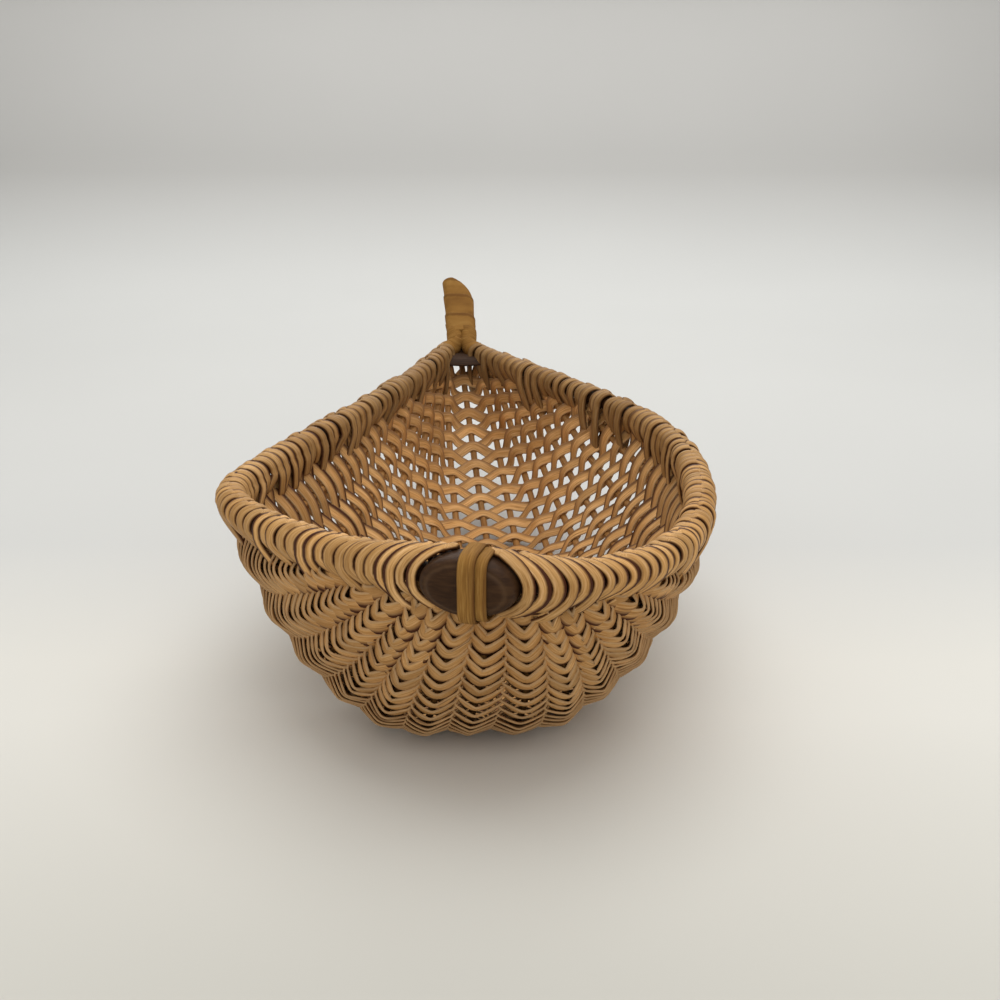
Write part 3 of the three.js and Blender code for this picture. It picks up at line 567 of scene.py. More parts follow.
def roundTree():
    tree, entry = startTree("Round stock along a guide", [
        ("Sides", "Int", 10), ("Unevenness", "Float", 0.0), ("Seed", "Int", 1),
        ("Material", "Material", None)])
    curve = add(tree, "GeometryNodeMeshToCurve", {"Mesh": entry["Guide"]}).outputs[0]
    curve = add(tree, "GeometryNodeSetCurveNormal", {
        "Curve": curve, "Normal": named(tree, "outward", "FLOAT_VECTOR")}, mode="FREE").outputs[0]
    spot = add(tree, "GeometryNodeInputPosition").outputs[0]
    knobbly = add(tree, "ShaderNodeTexNoise", {
        "Vector": spot, "W": product(tree, entry["Seed"], 5.1),
        "Scale": caneSection["knobScale"], "Detail": 1.0}, noise_dimensions="4D").outputs["Fac"]
    radius = total(tree, named(tree, "core"), product(
        tree, calc(tree, "SUBTRACT", knobbly, 0.5), entry["Unevenness"], 2.0))
    held = capture(
        tree, curve, Radius=("FLOAT", radius),
        Length=("FLOAT", add(tree, "GeometryNodeSplineParameter").outputs["Length"]))
    ring = add(tree, "GeometryNodeCurvePrimitiveCircle", {
        "Resolution": entry["Sides"], "Radius": 1.0})
    share = calc(tree, "DIVIDE", add(tree, "GeometryNodeInputIndex").outputs[0], entry["Sides"])
    profile = store(tree, ring.outputs["Curve"], "across", share)
    body = add(tree, "GeometryNodeCurveToMesh", {
        "Curve": held["Geometry"], "Profile Curve": profile, "Scale": held["Radius"],
        "Fill Caps": True})
    around = calc(tree, "SINE", product(tree, named(tree, "across"), 2 * math.pi))
    grain = add(tree, "ShaderNodeCombineXYZ", {
        "X": product(tree, around, caneSection["roundGrain"]),
        "Y": product(tree, held["Length"], 1000.0), "Z": named(tree, "tone")}).outputs[0]
    made = store(tree, body.outputs[0], "grain", grain, "FLOAT_VECTOR")
    return closeTree(tree, entry, made)


trees = {"strip": stripTree(), "winding": windingTree(), "round": roundTree()}
print("node trees built")


def linear(colour):  # a colour given as 0 to 255, as Blender wants it
    parts = [c / 255 for c in colour]
    parts = [p / 12.92 if p <= 0.04045 else ((p + 0.055) / 1.055) ** 2.4 for p in parts]
    return (*parts, 1.0)


def ramp(tree, factor, stops):
    node = add(tree, "ShaderNodeValToRGB", {"Fac": factor})
    band = node.color_ramp
    while len(band.elements) < len(stops):
        band.elements.new(0.5)
    for element, (position, colour) in zip(band.elements, stops):
        element.position = position
        element.color = linear(colour)
    return node.outputs["Color"]


def mixColour(tree, factor, a, b, blend="MIX"):
    node = add(tree, "ShaderNodeMix", {"Factor": factor}, data_type="RGBA", blend_type=blend)
    for number, value in ((6, a), (7, b)):
        if isinstance(value, bpy.types.NodeSocket):
            tree.links.new(value, node.inputs[number])
        else:
            node.inputs[number].default_value = value
    return node.outputs[2]


def startMaterial(name):
    material = bpy.data.materials.new(name)
    material.use_nodes = True
    return material, material.node_tree, material.node_tree.nodes["Principled BSDF"]


def greyOf(tree, value):
    return add(tree, "ShaderNodeCombineColor", {0: value, 1: value, 2: value}).outputs[0]


def finishShader(tree, shader, pattern, rough, finish):
    tree.links.new(mapped(tree, pattern, 0.0, 1.0, *rough), shader.inputs["Roughness"])
    shader.inputs["Specular IOR Level"].default_value = finish["specular"]
    bump = add(tree, "ShaderNodeBump", {
        "Height": pattern, "Strength": finish["bump"], "Distance": finish["bumpDepth"]})
    tree.links.new(bump.outputs[0], shader.inputs["Normal"])


def caneMaterial(name, finish):
    material, tree, shader = startMaterial(name)
    grain = add(tree, "ShaderNodeAttribute", attribute_name="grain").outputs["Vector"]
    across, along, tone = add(tree, "ShaderNodeSeparateXYZ", {0: grain}).outputs
    edge = add(tree, "ShaderNodeAttribute", attribute_name="edge").outputs["Fac"]
    spot = add(tree, "ShaderNodeTexCoord").outputs["Object"]
    # fibres run along the cane; the tone shifts the pattern from one strip to the next
    fibrePlace = add(tree, "ShaderNodeCombineXYZ", {
        "X": product(tree, across, finish["fibreAcross"]),
        "Y": product(tree, along, finish["fibreAlong"]), "Z": product(tree, tone, 57.0)}).outputs[0]
    fibre = add(tree, "ShaderNodeTexNoise", {
        "Vector": fibrePlace, "Scale": 1.0, "Detail": 4.0, "Roughness": 0.6}).outputs["Fac"]
    cloud = add(tree, "ShaderNodeTexNoise", {
        "Vector": spot, "Scale": finish["cloudScale"], "Detail": 3.0}).outputs["Fac"]
    base = ramp(tree, fibre, finish["fibreStops"])
    warmth = mapped(tree, cloud, *finish["cloudRange"], 0.0, finish["cloudShare"])
    base = mixColour(tree, warmth, base, linear(finish["warm"]))
    _, rearward, _ = add(tree, "ShaderNodeSeparateXYZ", {0: spot}).outputs
    spread = finish["toneRange"] / 2
    lightness = mapped(tree, tone, 0.0, 1.0, 1 - spread, 1 + spread)
    # painted light: the cane is made darker or lighter from front to back, so the weave's inside is
    # lighter and the rim's far side darker
    paintedLightByDepth = mapped(tree, rearward, *finish["paintedLightFade"], finish["frontPaintedLight"], finish["rearPaintedLight"])
    base = mixColour(tree, 1.0, base, greyOf(tree, product(tree, lightness, paintedLightByDepth)), "MULTIPLY")
    # lower side greyer; painted shade darkens both edges, where the gaps and creases between
    # neighbouring cane fall in shadow, less towards the rear; a painted highlight pales the upper
    # edge
    lowerTint = mapped(tree, edge, *finish["lowerRange"], 0.0, finish["lowerShare"], "SMOOTHSTEP")
    base = mixColour(tree, lowerTint, base, linear(finish["lower"]))
    uneven = product(tree, calc(tree, "SUBTRACT", tone, 0.5), finish["edgeVariation"])
    paintedShade = mapped(tree, total(tree, edge, uneven), finish["edgeFrom"], finish["edgeTo"], 0.0,
                   finish["edgeShare"])
    backPaintedShade = mapped(tree, edge, *finish["backRange"], 0.0, finish["backShare"])
    fading = mapped(tree, rearward, *finish["paintedShadeFade"], 1.0, finish["rearPaintedShade"])
    paintedShade = product(tree, calc(tree, "MAXIMUM", paintedShade, backPaintedShade), fading)
    base = mixColour(tree, paintedShade, base, linear(finish["edge"]))
    # painted highlight: the upper edge of each strip is made paler, as where light from above
    # catches it
    paintedHighlight = mapped(tree, edge, *finish["upperRange"], 0.0, finish["upperShare"])
    base = mixColour(tree, paintedHighlight, base, linear(finish["upper"]))
    flecks = add(tree, "ShaderNodeTexNoise", {
        "Vector": fibrePlace, "Scale": finish["fleckScale"], "Detail": 2.0}).outputs["Fac"]
    fleck = mapped(tree, flecks, *finish["fleckRange"], 0.0, finish["fleckShare"])
    base = mixColour(tree, fleck, base, linear(finish["fleck"]))
    tree.links.new(base, shader.inputs["Base Color"])
    rough = [finish["roughness"] + step for step in finish["roughSteps"]]
    finishShader(tree, shader, fibre, rough, finish)
    return material


# A share says how far a colour covers the cane, a range of the edge runs from -1 to 1 across
# it, and a fade runs from front to back in metres
caneFinish = {
    "fibreStops": [(0.25, (152, 104, 54)), (0.5, (194, 148, 92)), (0.78, (226, 184, 132))],
    "fibreAcross": 2.2, "fibreAlong": 0.12, "toneRange": 0.34,
    "frontPaintedLight": 1.0, "rearPaintedLight": 1.0, "paintedLightFade": (-0.13, 0.05),
    "warm": (160, 108, 50), "cloudScale": 30.0, "cloudShare": 0.4, "cloudRange": (0.38, 0.66),
    "lower": (176, 136, 102), "lowerShare": 0.0, "lowerRange": (0.1, 0.9),
    # edge is the colour of the painted shade along the edges of strips and wraps, where the gaps
    # between them fall in shadow
    "edge": (56, 14, 0), "edgeFrom": 0.2, "edgeTo": 0.75, "edgeShare": 0.95, "edgeVariation": 0.4,
    "backShare": 0.0, "backRange": (-0.7, -0.95), "rearPaintedShade": 0.4, "paintedShadeFade": (-0.03, 0.05),
    "upper": (226, 192, 146), "upperShare": 0.0, "upperRange": (-0.7, -0.85),
    "fleck": (88, 50, 20), "fleckShare": 0.55, "fleckScale": 0.45, "fleckRange": (0.62, 0.76),
    "roughness": 0.5, "roughSteps": (-0.08, 0.12), "specular": 0.14, "bump": 0.4,
    "bumpDepth": 0.0002,
}
materials = {
    "weave": caneMaterial("splitCane", {
        **caneFinish, "lowerShare": 0.45, "upperShare": 0.3, "backShare": 0.45,
        "roughness": 0.65, "frontPaintedLight": 0.93, "rearPaintedLight": 1.2}),
    "winding": caneMaterial("woundCane", {
        **caneFinish,
        "fibreStops": [(0.25, (148, 104, 54)), (0.5, (194, 150, 94)), (0.78, (226, 186, 136))],
        "warm": (156, 108, 52), "toneRange": 0.36, "edgeFrom": 0.2, "edgeTo": 0.62,
        "edgeShare": 0.97, "backShare": 0.9, "edgeVariation": 0.7, "rearPaintedShade": 0.5,
        "frontPaintedLight": 1.1, "rearPaintedLight": 0.62}),
    "binding": caneMaterial("bindingCane", {
        **caneFinish,
        "fibreStops": [(0.2, (112, 74, 28)), (0.5, (142, 102, 48)), (0.8, (172, 132, 72))],
        "warm": (124, 84, 32), "edgeShare": 0.97, "roughness": 0.75, "toneRange": 0.12}),
    "rib": caneMaterial("ribCane", {
        **caneFinish,
        "fibreStops": [(0.25, (120, 82, 42)), (0.5, (150, 108, 62)), (0.8, (176, 134, 86))],
        "edgeShare": 0.0, "toneRange": 0.2}),
    "rod": caneMaterial("darkRod", {
        **caneFinish,
        "fibreStops": [(0.25, (40, 24, 12)), (0.5, (60, 38, 20)), (0.8, (84, 56, 32))],
        "warm": (52, 30, 14), "edgeShare": 0.0, "fleckShare": 0.0}),
}


bossFinish = {
    "stretch": (110.0, 500.0, 800.0), "distortion": 0.4,
    "grainStops": [(0.3, (46, 27, 13)), (0.55, (62, 40, 22)), (0.8, (80, 55, 33))],
    "cloud": (42, 26, 14), "cloudScale": 160.0, "cloudShare": 0.35,
    # ring is a painted highlight: a lighter ring round the boss face at its groove
    "ring": (92, 68, 46), "ringShare": 0.45,
    "roughness": (0.4, 0.6), "specular": 0.12, "bump": 0.2, "bumpDepth": 0.0002,
}


def bossMaterial():
    finish = bossFinish
    material, tree, shader = startMaterial("darkBossWood")
    spot = add(tree, "ShaderNodeTexCoord").outputs["Object"]
    stretched = add(tree, "ShaderNodeMapping", {"Vector": spot, "Scale": finish["stretch"]})
    grain = add(tree, "ShaderNodeTexNoise", {
        "Vector": stretched.outputs[0], "Scale": 1.0, "Detail": 5.0,
        "Distortion": finish["distortion"]}).outputs["Fac"]
    colour = ramp(tree, grain, finish["grainStops"])
    cloud = add(tree, "ShaderNodeTexNoise", {
        "Vector": spot, "Scale": finish["cloudScale"], "Detail": 2.0}).outputs["Fac"]
    ring = add(tree, "ShaderNodeAttribute", attribute_name="ring").outputs["Fac"]
    # cloud is the wood's own mottling; ring adds the painted highlight
    for factor, label in ((cloud, "cloud"), (ring, "ring")):
        share = product(tree, factor, finish[label + "Share"])
        colour = mixColour(tree, share, colour, linear(finish[label]))
    tree.links.new(colour, shader.inputs["Base Color"])
    finishShader(tree, shader, grain, finish["roughness"], finish)
    return material


materials["boss"] = bossMaterial()
print("materials ready")


# Making a piece: guides with attributes, grown by a tree, turned into a plain mesh
def addAttribute(mesh, key, values, vector):
    layer = mesh.attributes.new(key, "FLOAT_VECTOR" if vector else "FLOAT", "POINT")
    flat = np.ascontiguousarray(values, np.float32).ravel()
    layer.data.foreach_set("vector" if vector else "value", flat)


def guideObject(name, lines):
    starts = np.cumsum([0] + [len(line["points"]) for line in lines])
    mesh = bpy.data.meshes.new(name)
    points = np.concatenate([toFrame(line["points"]) for line in lines])
    edges = [(a, a + 1) for start, line in zip(starts.tolist(), lines)
             for a in range(start, start + len(line["points"]) - 1)]
    mesh.from_pydata(points.tolist(), edges, [])
    for key in lines[0]:
        if key == "points":
            continue
        values = []
        for line in lines:
            size = len(line["points"])
            vector = np.size(line[key]) in (3, 3 * size)
            values.append(np.broadcast_to(line[key], (size, 3) if vector else (size,)))
        addAttribute(mesh, key, np.concatenate(values), vector)
    piece = bpy.data.objects.new(name, mesh)
    bpy.context.scene.collection.objects.link(piece)
    return piece


def growMesh(name, lines, tree, sizes, material):
    guide = guideObject(name + "Guide", lines)
    modifier = guide.modifiers.new("grow", "NODES")
    modifier.node_group = tree
    wanted = {**sizes, "Material": material}
    for item in tree.interface.items_tree:
        if item.in_out == "INPUT" and item.name in wanted:
            modifier[item.identifier] = wanted[item.name]
    deps = bpy.context.evaluated_depsgraph_get()
    mesh = bpy.data.meshes.new_from_object(
        guide.evaluated_get(deps), preserve_all_data_layers=True, depsgraph=deps)
    bpy.data.objects.remove(guide)
    return mesh


def setPiece(name, meshes, node):
    pieces = []
    for mesh in meshes:
        piece = bpy.data.objects.new(name, mesh)
        bpy.context.scene.collection.objects.link(piece)
        pieces.append(piece)
    if len(pieces) > 1:
        with bpy.context.temp_override(active_object=pieces[0], selected_editable_objects=pieces):
            bpy.ops.object.join()
    piece = pieces[0]
    piece.name = piece.data.name = name
    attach(piece, "root")
    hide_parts(node)
    return piece


def ringFaces(rings, sides):  # quads between closed rings of points that follow each other
    return [(i * sides + k, i * sides + (k + 1) % sides,
             (i + 1) * sides + (k + 1) % sides, (i + 1) * sides + k)
            for i in range(rings - 1) for k in range(sides)]


def plainMesh(name, points, faces, material, attributes):
    mesh = bpy.data.meshes.new(name)
    mesh.from_pydata(toFrame(points).tolist(), [], faces)
    for key, values in attributes.items():
        addAttribute(mesh, key, values, np.ndim(values) == 2)
    work = bmesh.new()
    work.from_mesh(mesh)
    bmesh.ops.remove_doubles(work, verts=work.verts, dist=1e-6)
    bmesh.ops.recalc_face_normals(work, faces=work.faces)
    for face in work.faces:
        face.smooth = True
    work.to_mesh(mesh)
    work.free()
    mesh.materials.append(material)
    return mesh


ribStock = {
    "sides": 10, "unevenness": 0.00008, "tuck": 2.5, "points": 110, "highest": 66.0,
    "frontStation": 0.1, "outermost": 0.995, "searchSteps": 600, "seed": 20,
}


def ribRange(index):  # from one rim to the other, its ends tucked under the winding
    t = np.linspace(stations[0], 1.0, ribStock["searchSteps"])
    u = ribPlace(index, t)
    points = onSkin(skinPoints, t, u)
    clear = rimClearance(points) + ribStock["tuck"]
    above = (points[:, 2] > ribStock["highest"]) & (t < ribStock["frontStation"])
    clear = np.where(above | (np.abs(u) > ribStock["outermost"]), -1.0, clear)
    start = end = len(t) // 2
    while start > 0 and clear[start] > 0:
        start -= 1
    while end < len(t) - 1 and clear[end] > 0:
        end += 1
    return t[start], t[end]


draws = np.random.default_rng(7)
for index in range(-weaveShape["ribsPerSide"], weaveShape["ribsPerSide"] + 1):
    first, last = ribRange(index)
    t = np.linspace(first, last, ribStock["points"])
    u = np.clip(ribPlace(index, t), -1, 1)
    label = "keel" if index == 0 else f"{'left' if index < 0 else 'right'}_{abs(index)}"
    line = {"points": onSkin(skinPoints, t, u), "outward": onSkin(skinOut, t, u),
            "core": ribRadiusAt(t) / 1000, "tone": draws.random()}
    mesh = growMesh("rib_" + label, [line], trees["round"], {
        "Sides": ribStock["sides"], "Unevenness": ribStock["unevenness"],
        "Seed": ribStock["seed"] + index}, materials["rib"])
    setPiece(f"rib_{label}_cane", [mesh], "rib_" + label)
print("ribs made")

# Woven strips: rows beaten close at the blunt end, open towards the throat
weaverCane = {
    "width": 5.2, "denseWidth": 5.5, "thickness": 0.8, "crown": 0.1, "touch": 0.1,
    "waveStations": (0.187, 0.336, 0.6, 0.8), "waves": (3.3, -0.3, -0.5, -1.7),
    "leanAtRib": 0.3, "leanBetween": 0.72, "sideLean": 0.55, "sideLeanFade": (0.4, 0.9),
    "densePitch": 2.4, "openPitch": 4.8, "leastPitch": 1.5, "shingleFade": (-0.1, 0.4),
    "pitchStations": (0.17, 0.35, 0.7, 0.92), "pitches": (2.15, 5.0, 6.05, 5.0),
    "lagStations": (0.0, 0.2, 0.85), "lags": (0.0, 0.05, 0.12), "lagPower": 1.6,
    "meanFade": (0.65, 1.05), "firstStation": -0.07, "lastStation": 1.1, "endStation": 0.99,
    "frontStation": 0.05, "highest": 67.0, "pointsPerRib": 12, "leastPoints": 5,
    "sideWander": 0.6, "pressWander": 0.12, "widthWander": 0.12, "wanderKnots": 15,
    "tuck": 2.5, "rimFade": 6.0, "rimPress": 0.3, "twist": 0.12, "unevenness": 0.00014,
}


def rowPitch(t):
    return np.interp(t, weaverCane["pitchStations"], weaverCane["pitches"])


def sideLag(t):
    return float(np.interp(t, weaverCane["lagStations"], weaverCane["lags"]))


def rowStations():
    rows = [weaverCane["firstStation"]]
    while rows[-1] < weaverCane["lastStation"]:
        rows.append(rows[-1] + rowPitch(rows[-1]) / keel.length)
    return rows


def wandering(q):  # slow random play along a row
    knots = weaverCane["wanderKnots"]
    return np.interp(q, np.linspace(q[0], q[-1], knots), draws.uniform(-1, 1, knots))


def weaverLines(row, t):
    cane = weaverCane
    dense = 1 - float(smooth(rowPitch(t), cane["densePitch"], cane["openPitch"]))
    width = cane["width"] + (cane["denseWidth"] - cane["width"]) * dense
    wave = np.interp(t, cane["waveStations"], cane["waves"])
    ends = weaveShape["ribsPerSide"] + 1
    # towards the throat a row stays behind at the rims
    lag = sideLag(t)
    fine = np.linspace(-ends, ends, 561)
    reach = np.interp(1.0, ribPlace(fine, t - lag), fine)
    q = np.linspace(-reach, reach, int(2 * reach * cane["pointsPerRib"]) + 1)
    swing = np.cos(math.pi * (q + row))  # 1 where the strip is outside a rib, -1 inside it
    middle = t - lag * np.abs(q / reach) ** cane["lagPower"]
    u = np.clip(ribPlace(q, middle), -1, 1)
    stretch = np.linalg.norm(onSkin(skinPoints, middle + 0.01, u)
                             - onSkin(skinPoints, middle - 0.01, u), axis=1)
    stretch = np.maximum(stretch, 1.0) / 0.02
    station = middle + (wave * swing + cane["sideWander"] * wandering(q)) / stretch
    u = np.clip(ribPlace(q, station), -1, 1)
    points, out = onSkin(skinPoints, station, u), onSkin(skinOut, station, u)
    along = onSkin(skinAlong, station, u)
    room = rimClearance(points)
    pitch = np.maximum(rowPitch(t) / keel.length * stretch, cane["leastPitch"])
    # rows closer than their width lie on each other like shingles, the upper edge outside
    apart = smooth(pitch, *(width + step for step in cane["shingleFade"]))
    shingle = np.arcsin(cane["thickness"] / pitch) * (1 - apart)
    leant = cane["leanBetween"] + (cane["leanAtRib"] - cane["leanBetween"]) * np.abs(swing)
    leant = leant * (1 - (1 - cane["sideLean"]) * smooth(np.abs(u), *cane["sideLeanFade"]))
    lean = np.maximum(leant * dense, shingle)
    seat = (ribRadiusAt(station) + cane["thickness"] / 2 + cane["touch"]
            + width / 2 * math.sin(cane["leanAtRib"] * dense))
    seat = seat * (1 + cane["pressWander"] * wandering(q))
    rise = swing * seat * np.clip(cane["rimPress"] + room / cane["rimFade"], 0.0, 1.0)
    tangent = unit(np.gradient(points + out * rise[:, None], axis=0))
    face = out * np.cos(lean)[:, None] + along * np.sin(lean)[:, None]
    face = unit(face - tangent * np.sum(face * tangent, axis=1, keepdims=True))
    halfWidth = width / 2 * (1 + cane["widthWander"] * draws.uniform(-1, 1))
    tone = draws.random()
    underRim = (points[:, 2] < cane["highest"]) | (t > cane["frontStation"])
    kept = np.flatnonzero((room > -cane["tuck"]) & underRim & (station < cane["endStation"]))
    runs = np.split(kept, np.flatnonzero(np.diff(kept) > 1) + 1)
    return [{"points": points[run], "outward": out[run], "face": face[run],
             "rise": rise[run] / 1000, "halfWidth": halfWidth / 1000, "tone": tone}
            for run in runs if len(run) > cane["leastPoints"]]


weaverLists = {number: [] for number in range(weaveShape["cadRows"])}
for row, t in enumerate(rowStations()):  # each row goes to the node that lies nearest to it
    meanLag = sideLag(t) / (weaverCane["lagPower"] + 1)
    meanLag *= 1 - float(smooth(t, *weaverCane["meanFade"]))
    number = int(np.clip(round((t - meanLag) / stationStep), 0, weaveShape["cadRows"] - 1))
    weaverLists[number] += weaverLines(row, t)
for number, lines in weaverLists.items():
    node = f"weaver_{number + 1:02d}"
    mesh = growMesh(node, lines, trees["strip"], {
        "Thickness": weaverCane["thickness"] / 1000, "Crown": weaverCane["crown"] / 1000,
        "Unevenness": weaverCane["unevenness"], "Twist": weaverCane["twist"],
        "Seed": number + 1}, materials["weave"])
    setPiece(node + "_cane", [mesh], node)
print("weavers made, rows:", len(rowStations()))

rodStock = {
    "sides": 16, "unevenness": 0.00005, "points": 420, "trim": 2.6, "tone": 0.4, "seed": 3,
}
hoopMarks = np.linspace(rodStock["trim"], hoop.length - rodStock["trim"], rodStock["points"])
hoopSide = unit(np.cross(hoop.direction(hoopMarks), [0, 0, 1.0]))
rodLine = {"points": hoop.at(hoopMarks), "outward": hoopSide,
           "core": rimShape["rodRadius"] / 1000, "tone": rodStock["tone"]}
rodMesh = growMesh("rim_hoop", [rodLine], trees["round"], {
    "Sides": rodStock["sides"], "Unevenness": rodStock["unevenness"], "Seed": rodStock["seed"]},
    materials["rod"])
setPiece("rim_hoop_rod", [rodMesh], "rim_hoop")
print("rim hoop made")

# Cane wound round the rim, from the boss to the throat on each side
rimWinding = {
    "firstPitch": 4.0, "lastPitch": 6.2, "halfWidth": (1.82, 2.75), "thickness": 0.8,
    "crown": 0.55, "crescent": 1.0, "steps": 36, "guidePoints": 320, "firstMark": 0.6,
    "startTurn": 0.5, "leanShare": 0.5, "leanLimits": (0.06, 0.14), "leanLift": 0.7,
    "bossPush": 11.0, "pushTurns": 13.0, "bossTall": 2.9, "tallFrom": 6.0, "tallRun": 16.0,
    "tailSweep": 2.2, "tailBunch": 11.0, "bunchShare": 0.55, "tailPinch": 0.42,
    "pitchJitter": 2.2, "heightJitter": 0.8, "widthJitter": 0.3,
    "dropMarks": (0, 20, 60, 160, 300), "drops": (0.5, 2.6, 3.0, 6.5, 7.5),
    "wallReach": 11.0, "wallBlur": 2.5, "wallPasses": 30, "seed": 11,
}


def wallBelow(points, directions):  # the way the weave runs off from the rim
    cane = rimWinding
    near = skinPoints[30::3, ::3].reshape(-1, 3)  # row 30 is station 0
    offsets = near[None] - points[:, None]
    reach = np.linalg.norm(offsets, axis=2)
    skew = np.sum(offsets * directions[:, None], axis=2)
    fit = ((reach - cane["wallReach"]) / cane["wallBlur"]) ** 2
    weight = np.exp(-fit - (skew / cane["wallBlur"]) ** 2) + 1e-12
    below = np.sum(offsets * weight[..., None], axis=1)
    below -= directions * np.sum(below * directions, axis=1, keepdims=True)
    return unit(blur(unit(below), 0, cane["wallPasses"]))


def rimGuide(side):
    cane = rimWinding
    start = bossMark + side * cane["firstMark"]
    end = frontMark + side * halves[side]["rim"].length
    marks = np.linspace(start, end, cane["guidePoints"])
    directions = hoop.direction(marks)
    across = unit(np.cross(directions, [0, 0, 1.0]))
    over = unit(np.cross(directions, across))
    over *= np.sign(over[:, 2:3])
    fromBoss = np.abs(marks - bossMark)
    share = fromBoss / fromBoss[-1]
    halfWidth = np.interp(share, (0, 1), cane["halfWidth"])
    pitch = np.interp(share, (0, 1), (cane["firstPitch"], cane["lastPitch"]))
    lean = np.clip(cane["leanShare"] * cane["thickness"] / pitch, *cane["leanLimits"])
    lift = cane["thickness"] / 2 + cane["crown"] + halfWidth * lean * cane["leanLift"]
    pastBoss = np.maximum(0, fromBoss - cane["tallFrom"])
    tall = cane["bossTall"] * np.exp(-pastBoss / cane["tallRun"])
    drop = np.interp(fromBoss, cane["dropMarks"], cane["drops"])
    return {"points": hoop.at(marks), "sideways": across, "upward": over,
            "downward": wallBelow(hoop.at(marks), directions), "ahead": directions * side,
            "core": (rimRadius(marks) - lift) / 1000, "tall": tall / 1000, "drop": drop / 1000,
            "spread": 0.0, "lean": lean, "halfWidth": halfWidth / 1000}, abs(end - start)


def turnsFor(length, first, last):
    return float(round(length * math.log(last / first) / (last - first)))


def inputsFrom(cane, labels, scale=1.0):  # "Tail Sweep" is filled from "tailSweep"
    keys = {label: label[0].lower() + label[1:].replace(" ", "") for label in labels}
    return {label: cane[key] * scale for label, key in keys.items()}


for side, label in ((-1, "left"), (1, "right")):
    guide, length = rimGuide(side)
    cane = rimWinding
    mesh = growMesh("rim_winding_" + label, [guide], trees["winding"], {
        "Turns": turnsFor(length, cane["firstPitch"], cane["lastPitch"]),
        "Pitch Growth": cane["lastPitch"] / cane["firstPitch"], "Steps": cane["steps"],
        "Dark Side": float(side), "Seed": cane["seed"] + side,
        **inputsFrom(cane, ("Start Turn", "Push Turns", "Bunch Share", "Tail Pinch",
                            "Width Jitter")),
        **inputsFrom(cane, ("Thickness", "Crown", "Crescent", "Boss Push", "Tail Sweep",
                            "Tail Bunch", "Pitch Jitter", "Height Jitter"), 0.001)},
        materials["winding"])
    setPiece(f"rim_winding_{label}_cane", [mesh], "rim_winding_" + label)
print("rim windings made")

# Stem: a broad band of cane in three laps over both ends of the hoop, with a slanted round end
stemCane = {
    "start": 1.5, "wall": 1.15, "lapMarks": (10.5, 22.5, 33.0), "lapRise": 0.45,
    "lapLength": 11.0, "lapEdge": 0.4, "lapSlant": 1.6, "lapShade": 2.0, "shade": 0.96,
    "rings": 90, "sides": 40, "capRings": 10, "capReach": 0.75, "trim": 2.4,
    "slopeStart": 21.5, "slopePower": 0.8, "squareness": 3.0,
    "grainAlong": 0.08, "grainAcross": 0.8, "tone": 0.5,
}
lashingCane = {
    "pitch": 6.6, "pitchGrowth": 1.01, "halfWidth": 3.9, "thickness": 0.85, "crown": 0.2,
    "steps": 30, "wall": 0.75, "lean": 0.14, "darkSide": 0.6, "foot": 2.0, "overlap": 5.0,
    "guidePoints": 60, "webMarks": (-11.0, -8.0, -5.0, -2.0, 1.0, 4.0, 7.0, 10.0),
    "webDrop": 2.6, "webSag": 0.8, "webWidth": 4.6, "webFace": (0.0, -0.75, 0.65),
    "webTone": 0.3, "webToneStep": 0.05, "webSeed": 70, "seed": 9,
}


def stemSection(mark):
    left, right = halves[-1], halves[1]
    turned = min(1, mark / left["turn"].length)
    risen = max(0, mark - left["turn"].length)
    level = min(turned * right["turn"].length + risen, right["leg"].length)
    leftPoint, rightPoint = left["leg"].at(mark)[0], right["leg"].at(level)[0]
    direction = unit(left["leg"].direction([mark])[0] + right["leg"].direction([level])[0])
    across = rightPoint - leftPoint
    across -= direction * np.dot(across, direction)
    gap = np.linalg.norm(across)
    slope = stemShape["length"] - stemCane["trim"] - stemCane["slopeStart"]
    past = max(0, risen - stemCane["slopeStart"])
    gap *= math.cos(min(1, past / slope) * math.pi / 2) ** stemCane["slopePower"]
    return leftPoint + unit(across) * gap / 2, direction, unit(across), gap / 2


def makeStem():
    cane = stemCane
    start = halves[-1]["turn"].length + cane["start"]
    end = halves[-1]["leg"].length - cane["trim"]
    marks = np.linspace(start, end, cane["rings"])
    rings = [(mark, 0.0) for mark in marks]
    rings += [(end, math.pi / 2 * k / cane["capRings"]) for k in range(1, cane["capRings"])]
    turns = 2 * math.pi * np.arange(cane["sides"]) / cane["sides"]
    points, grain, edge = [], [], []
    for mark, dome in rings:
        centre, direction, across, half = stemSection(mark)
        over = unit(np.cross(direction, across))
        laps = mark - start + cane["lapSlant"] * np.cos(turns)
        first, second, last = (laps - lapMark for lapMark in cane["lapMarks"])
        lap = np.select([first < 0, second < 0], [first, second], last)  # below 0 up to its edge
        lift = smooth(lap, -cane["lapLength"], -cane["lapEdge"])
        lift *= cane["lapRise"] * (1 - smooth(lap, -cane["lapEdge"], 0.0))
        core = (rimShape["rodRadius"] + cane["wall"] + lift) * math.cos(dome)
        squared = np.tanh(cane["squareness"] * np.cos(turns))
        wide = core * np.cos(turns) + half * squared * math.cos(dome)
        forward = rimShape["rodRadius"] * cane["capReach"] * math.sin(dome)
        points += list(centre + direction * forward + across * wide[:, None]
                       + over * (core * np.sin(turns))[:, None])
        grain += [(mark * cane["grainAlong"], k * cane["grainAcross"], cane["tone"])
                  for k in range(cane["sides"])]
        # painted shade: a dark band along each lap's edge, where the lap above overlaps
        edge += list(np.where(lap > -cane["lapShade"], cane["shade"], 0.0))
    sides, count = cane["sides"], len(rings)
    faces = ringFaces(count, sides)
    faces += [tuple(range(sides))[::-1], tuple(range((count - 1) * sides, count * sides))]
    mesh = plainMesh("stem_winding", points, faces, materials["binding"],
                     {"grain": np.array(grain), "edge": np.array(edge)})
    setPiece("stem_winding_cane", [mesh], "stem_winding")


makeStem()


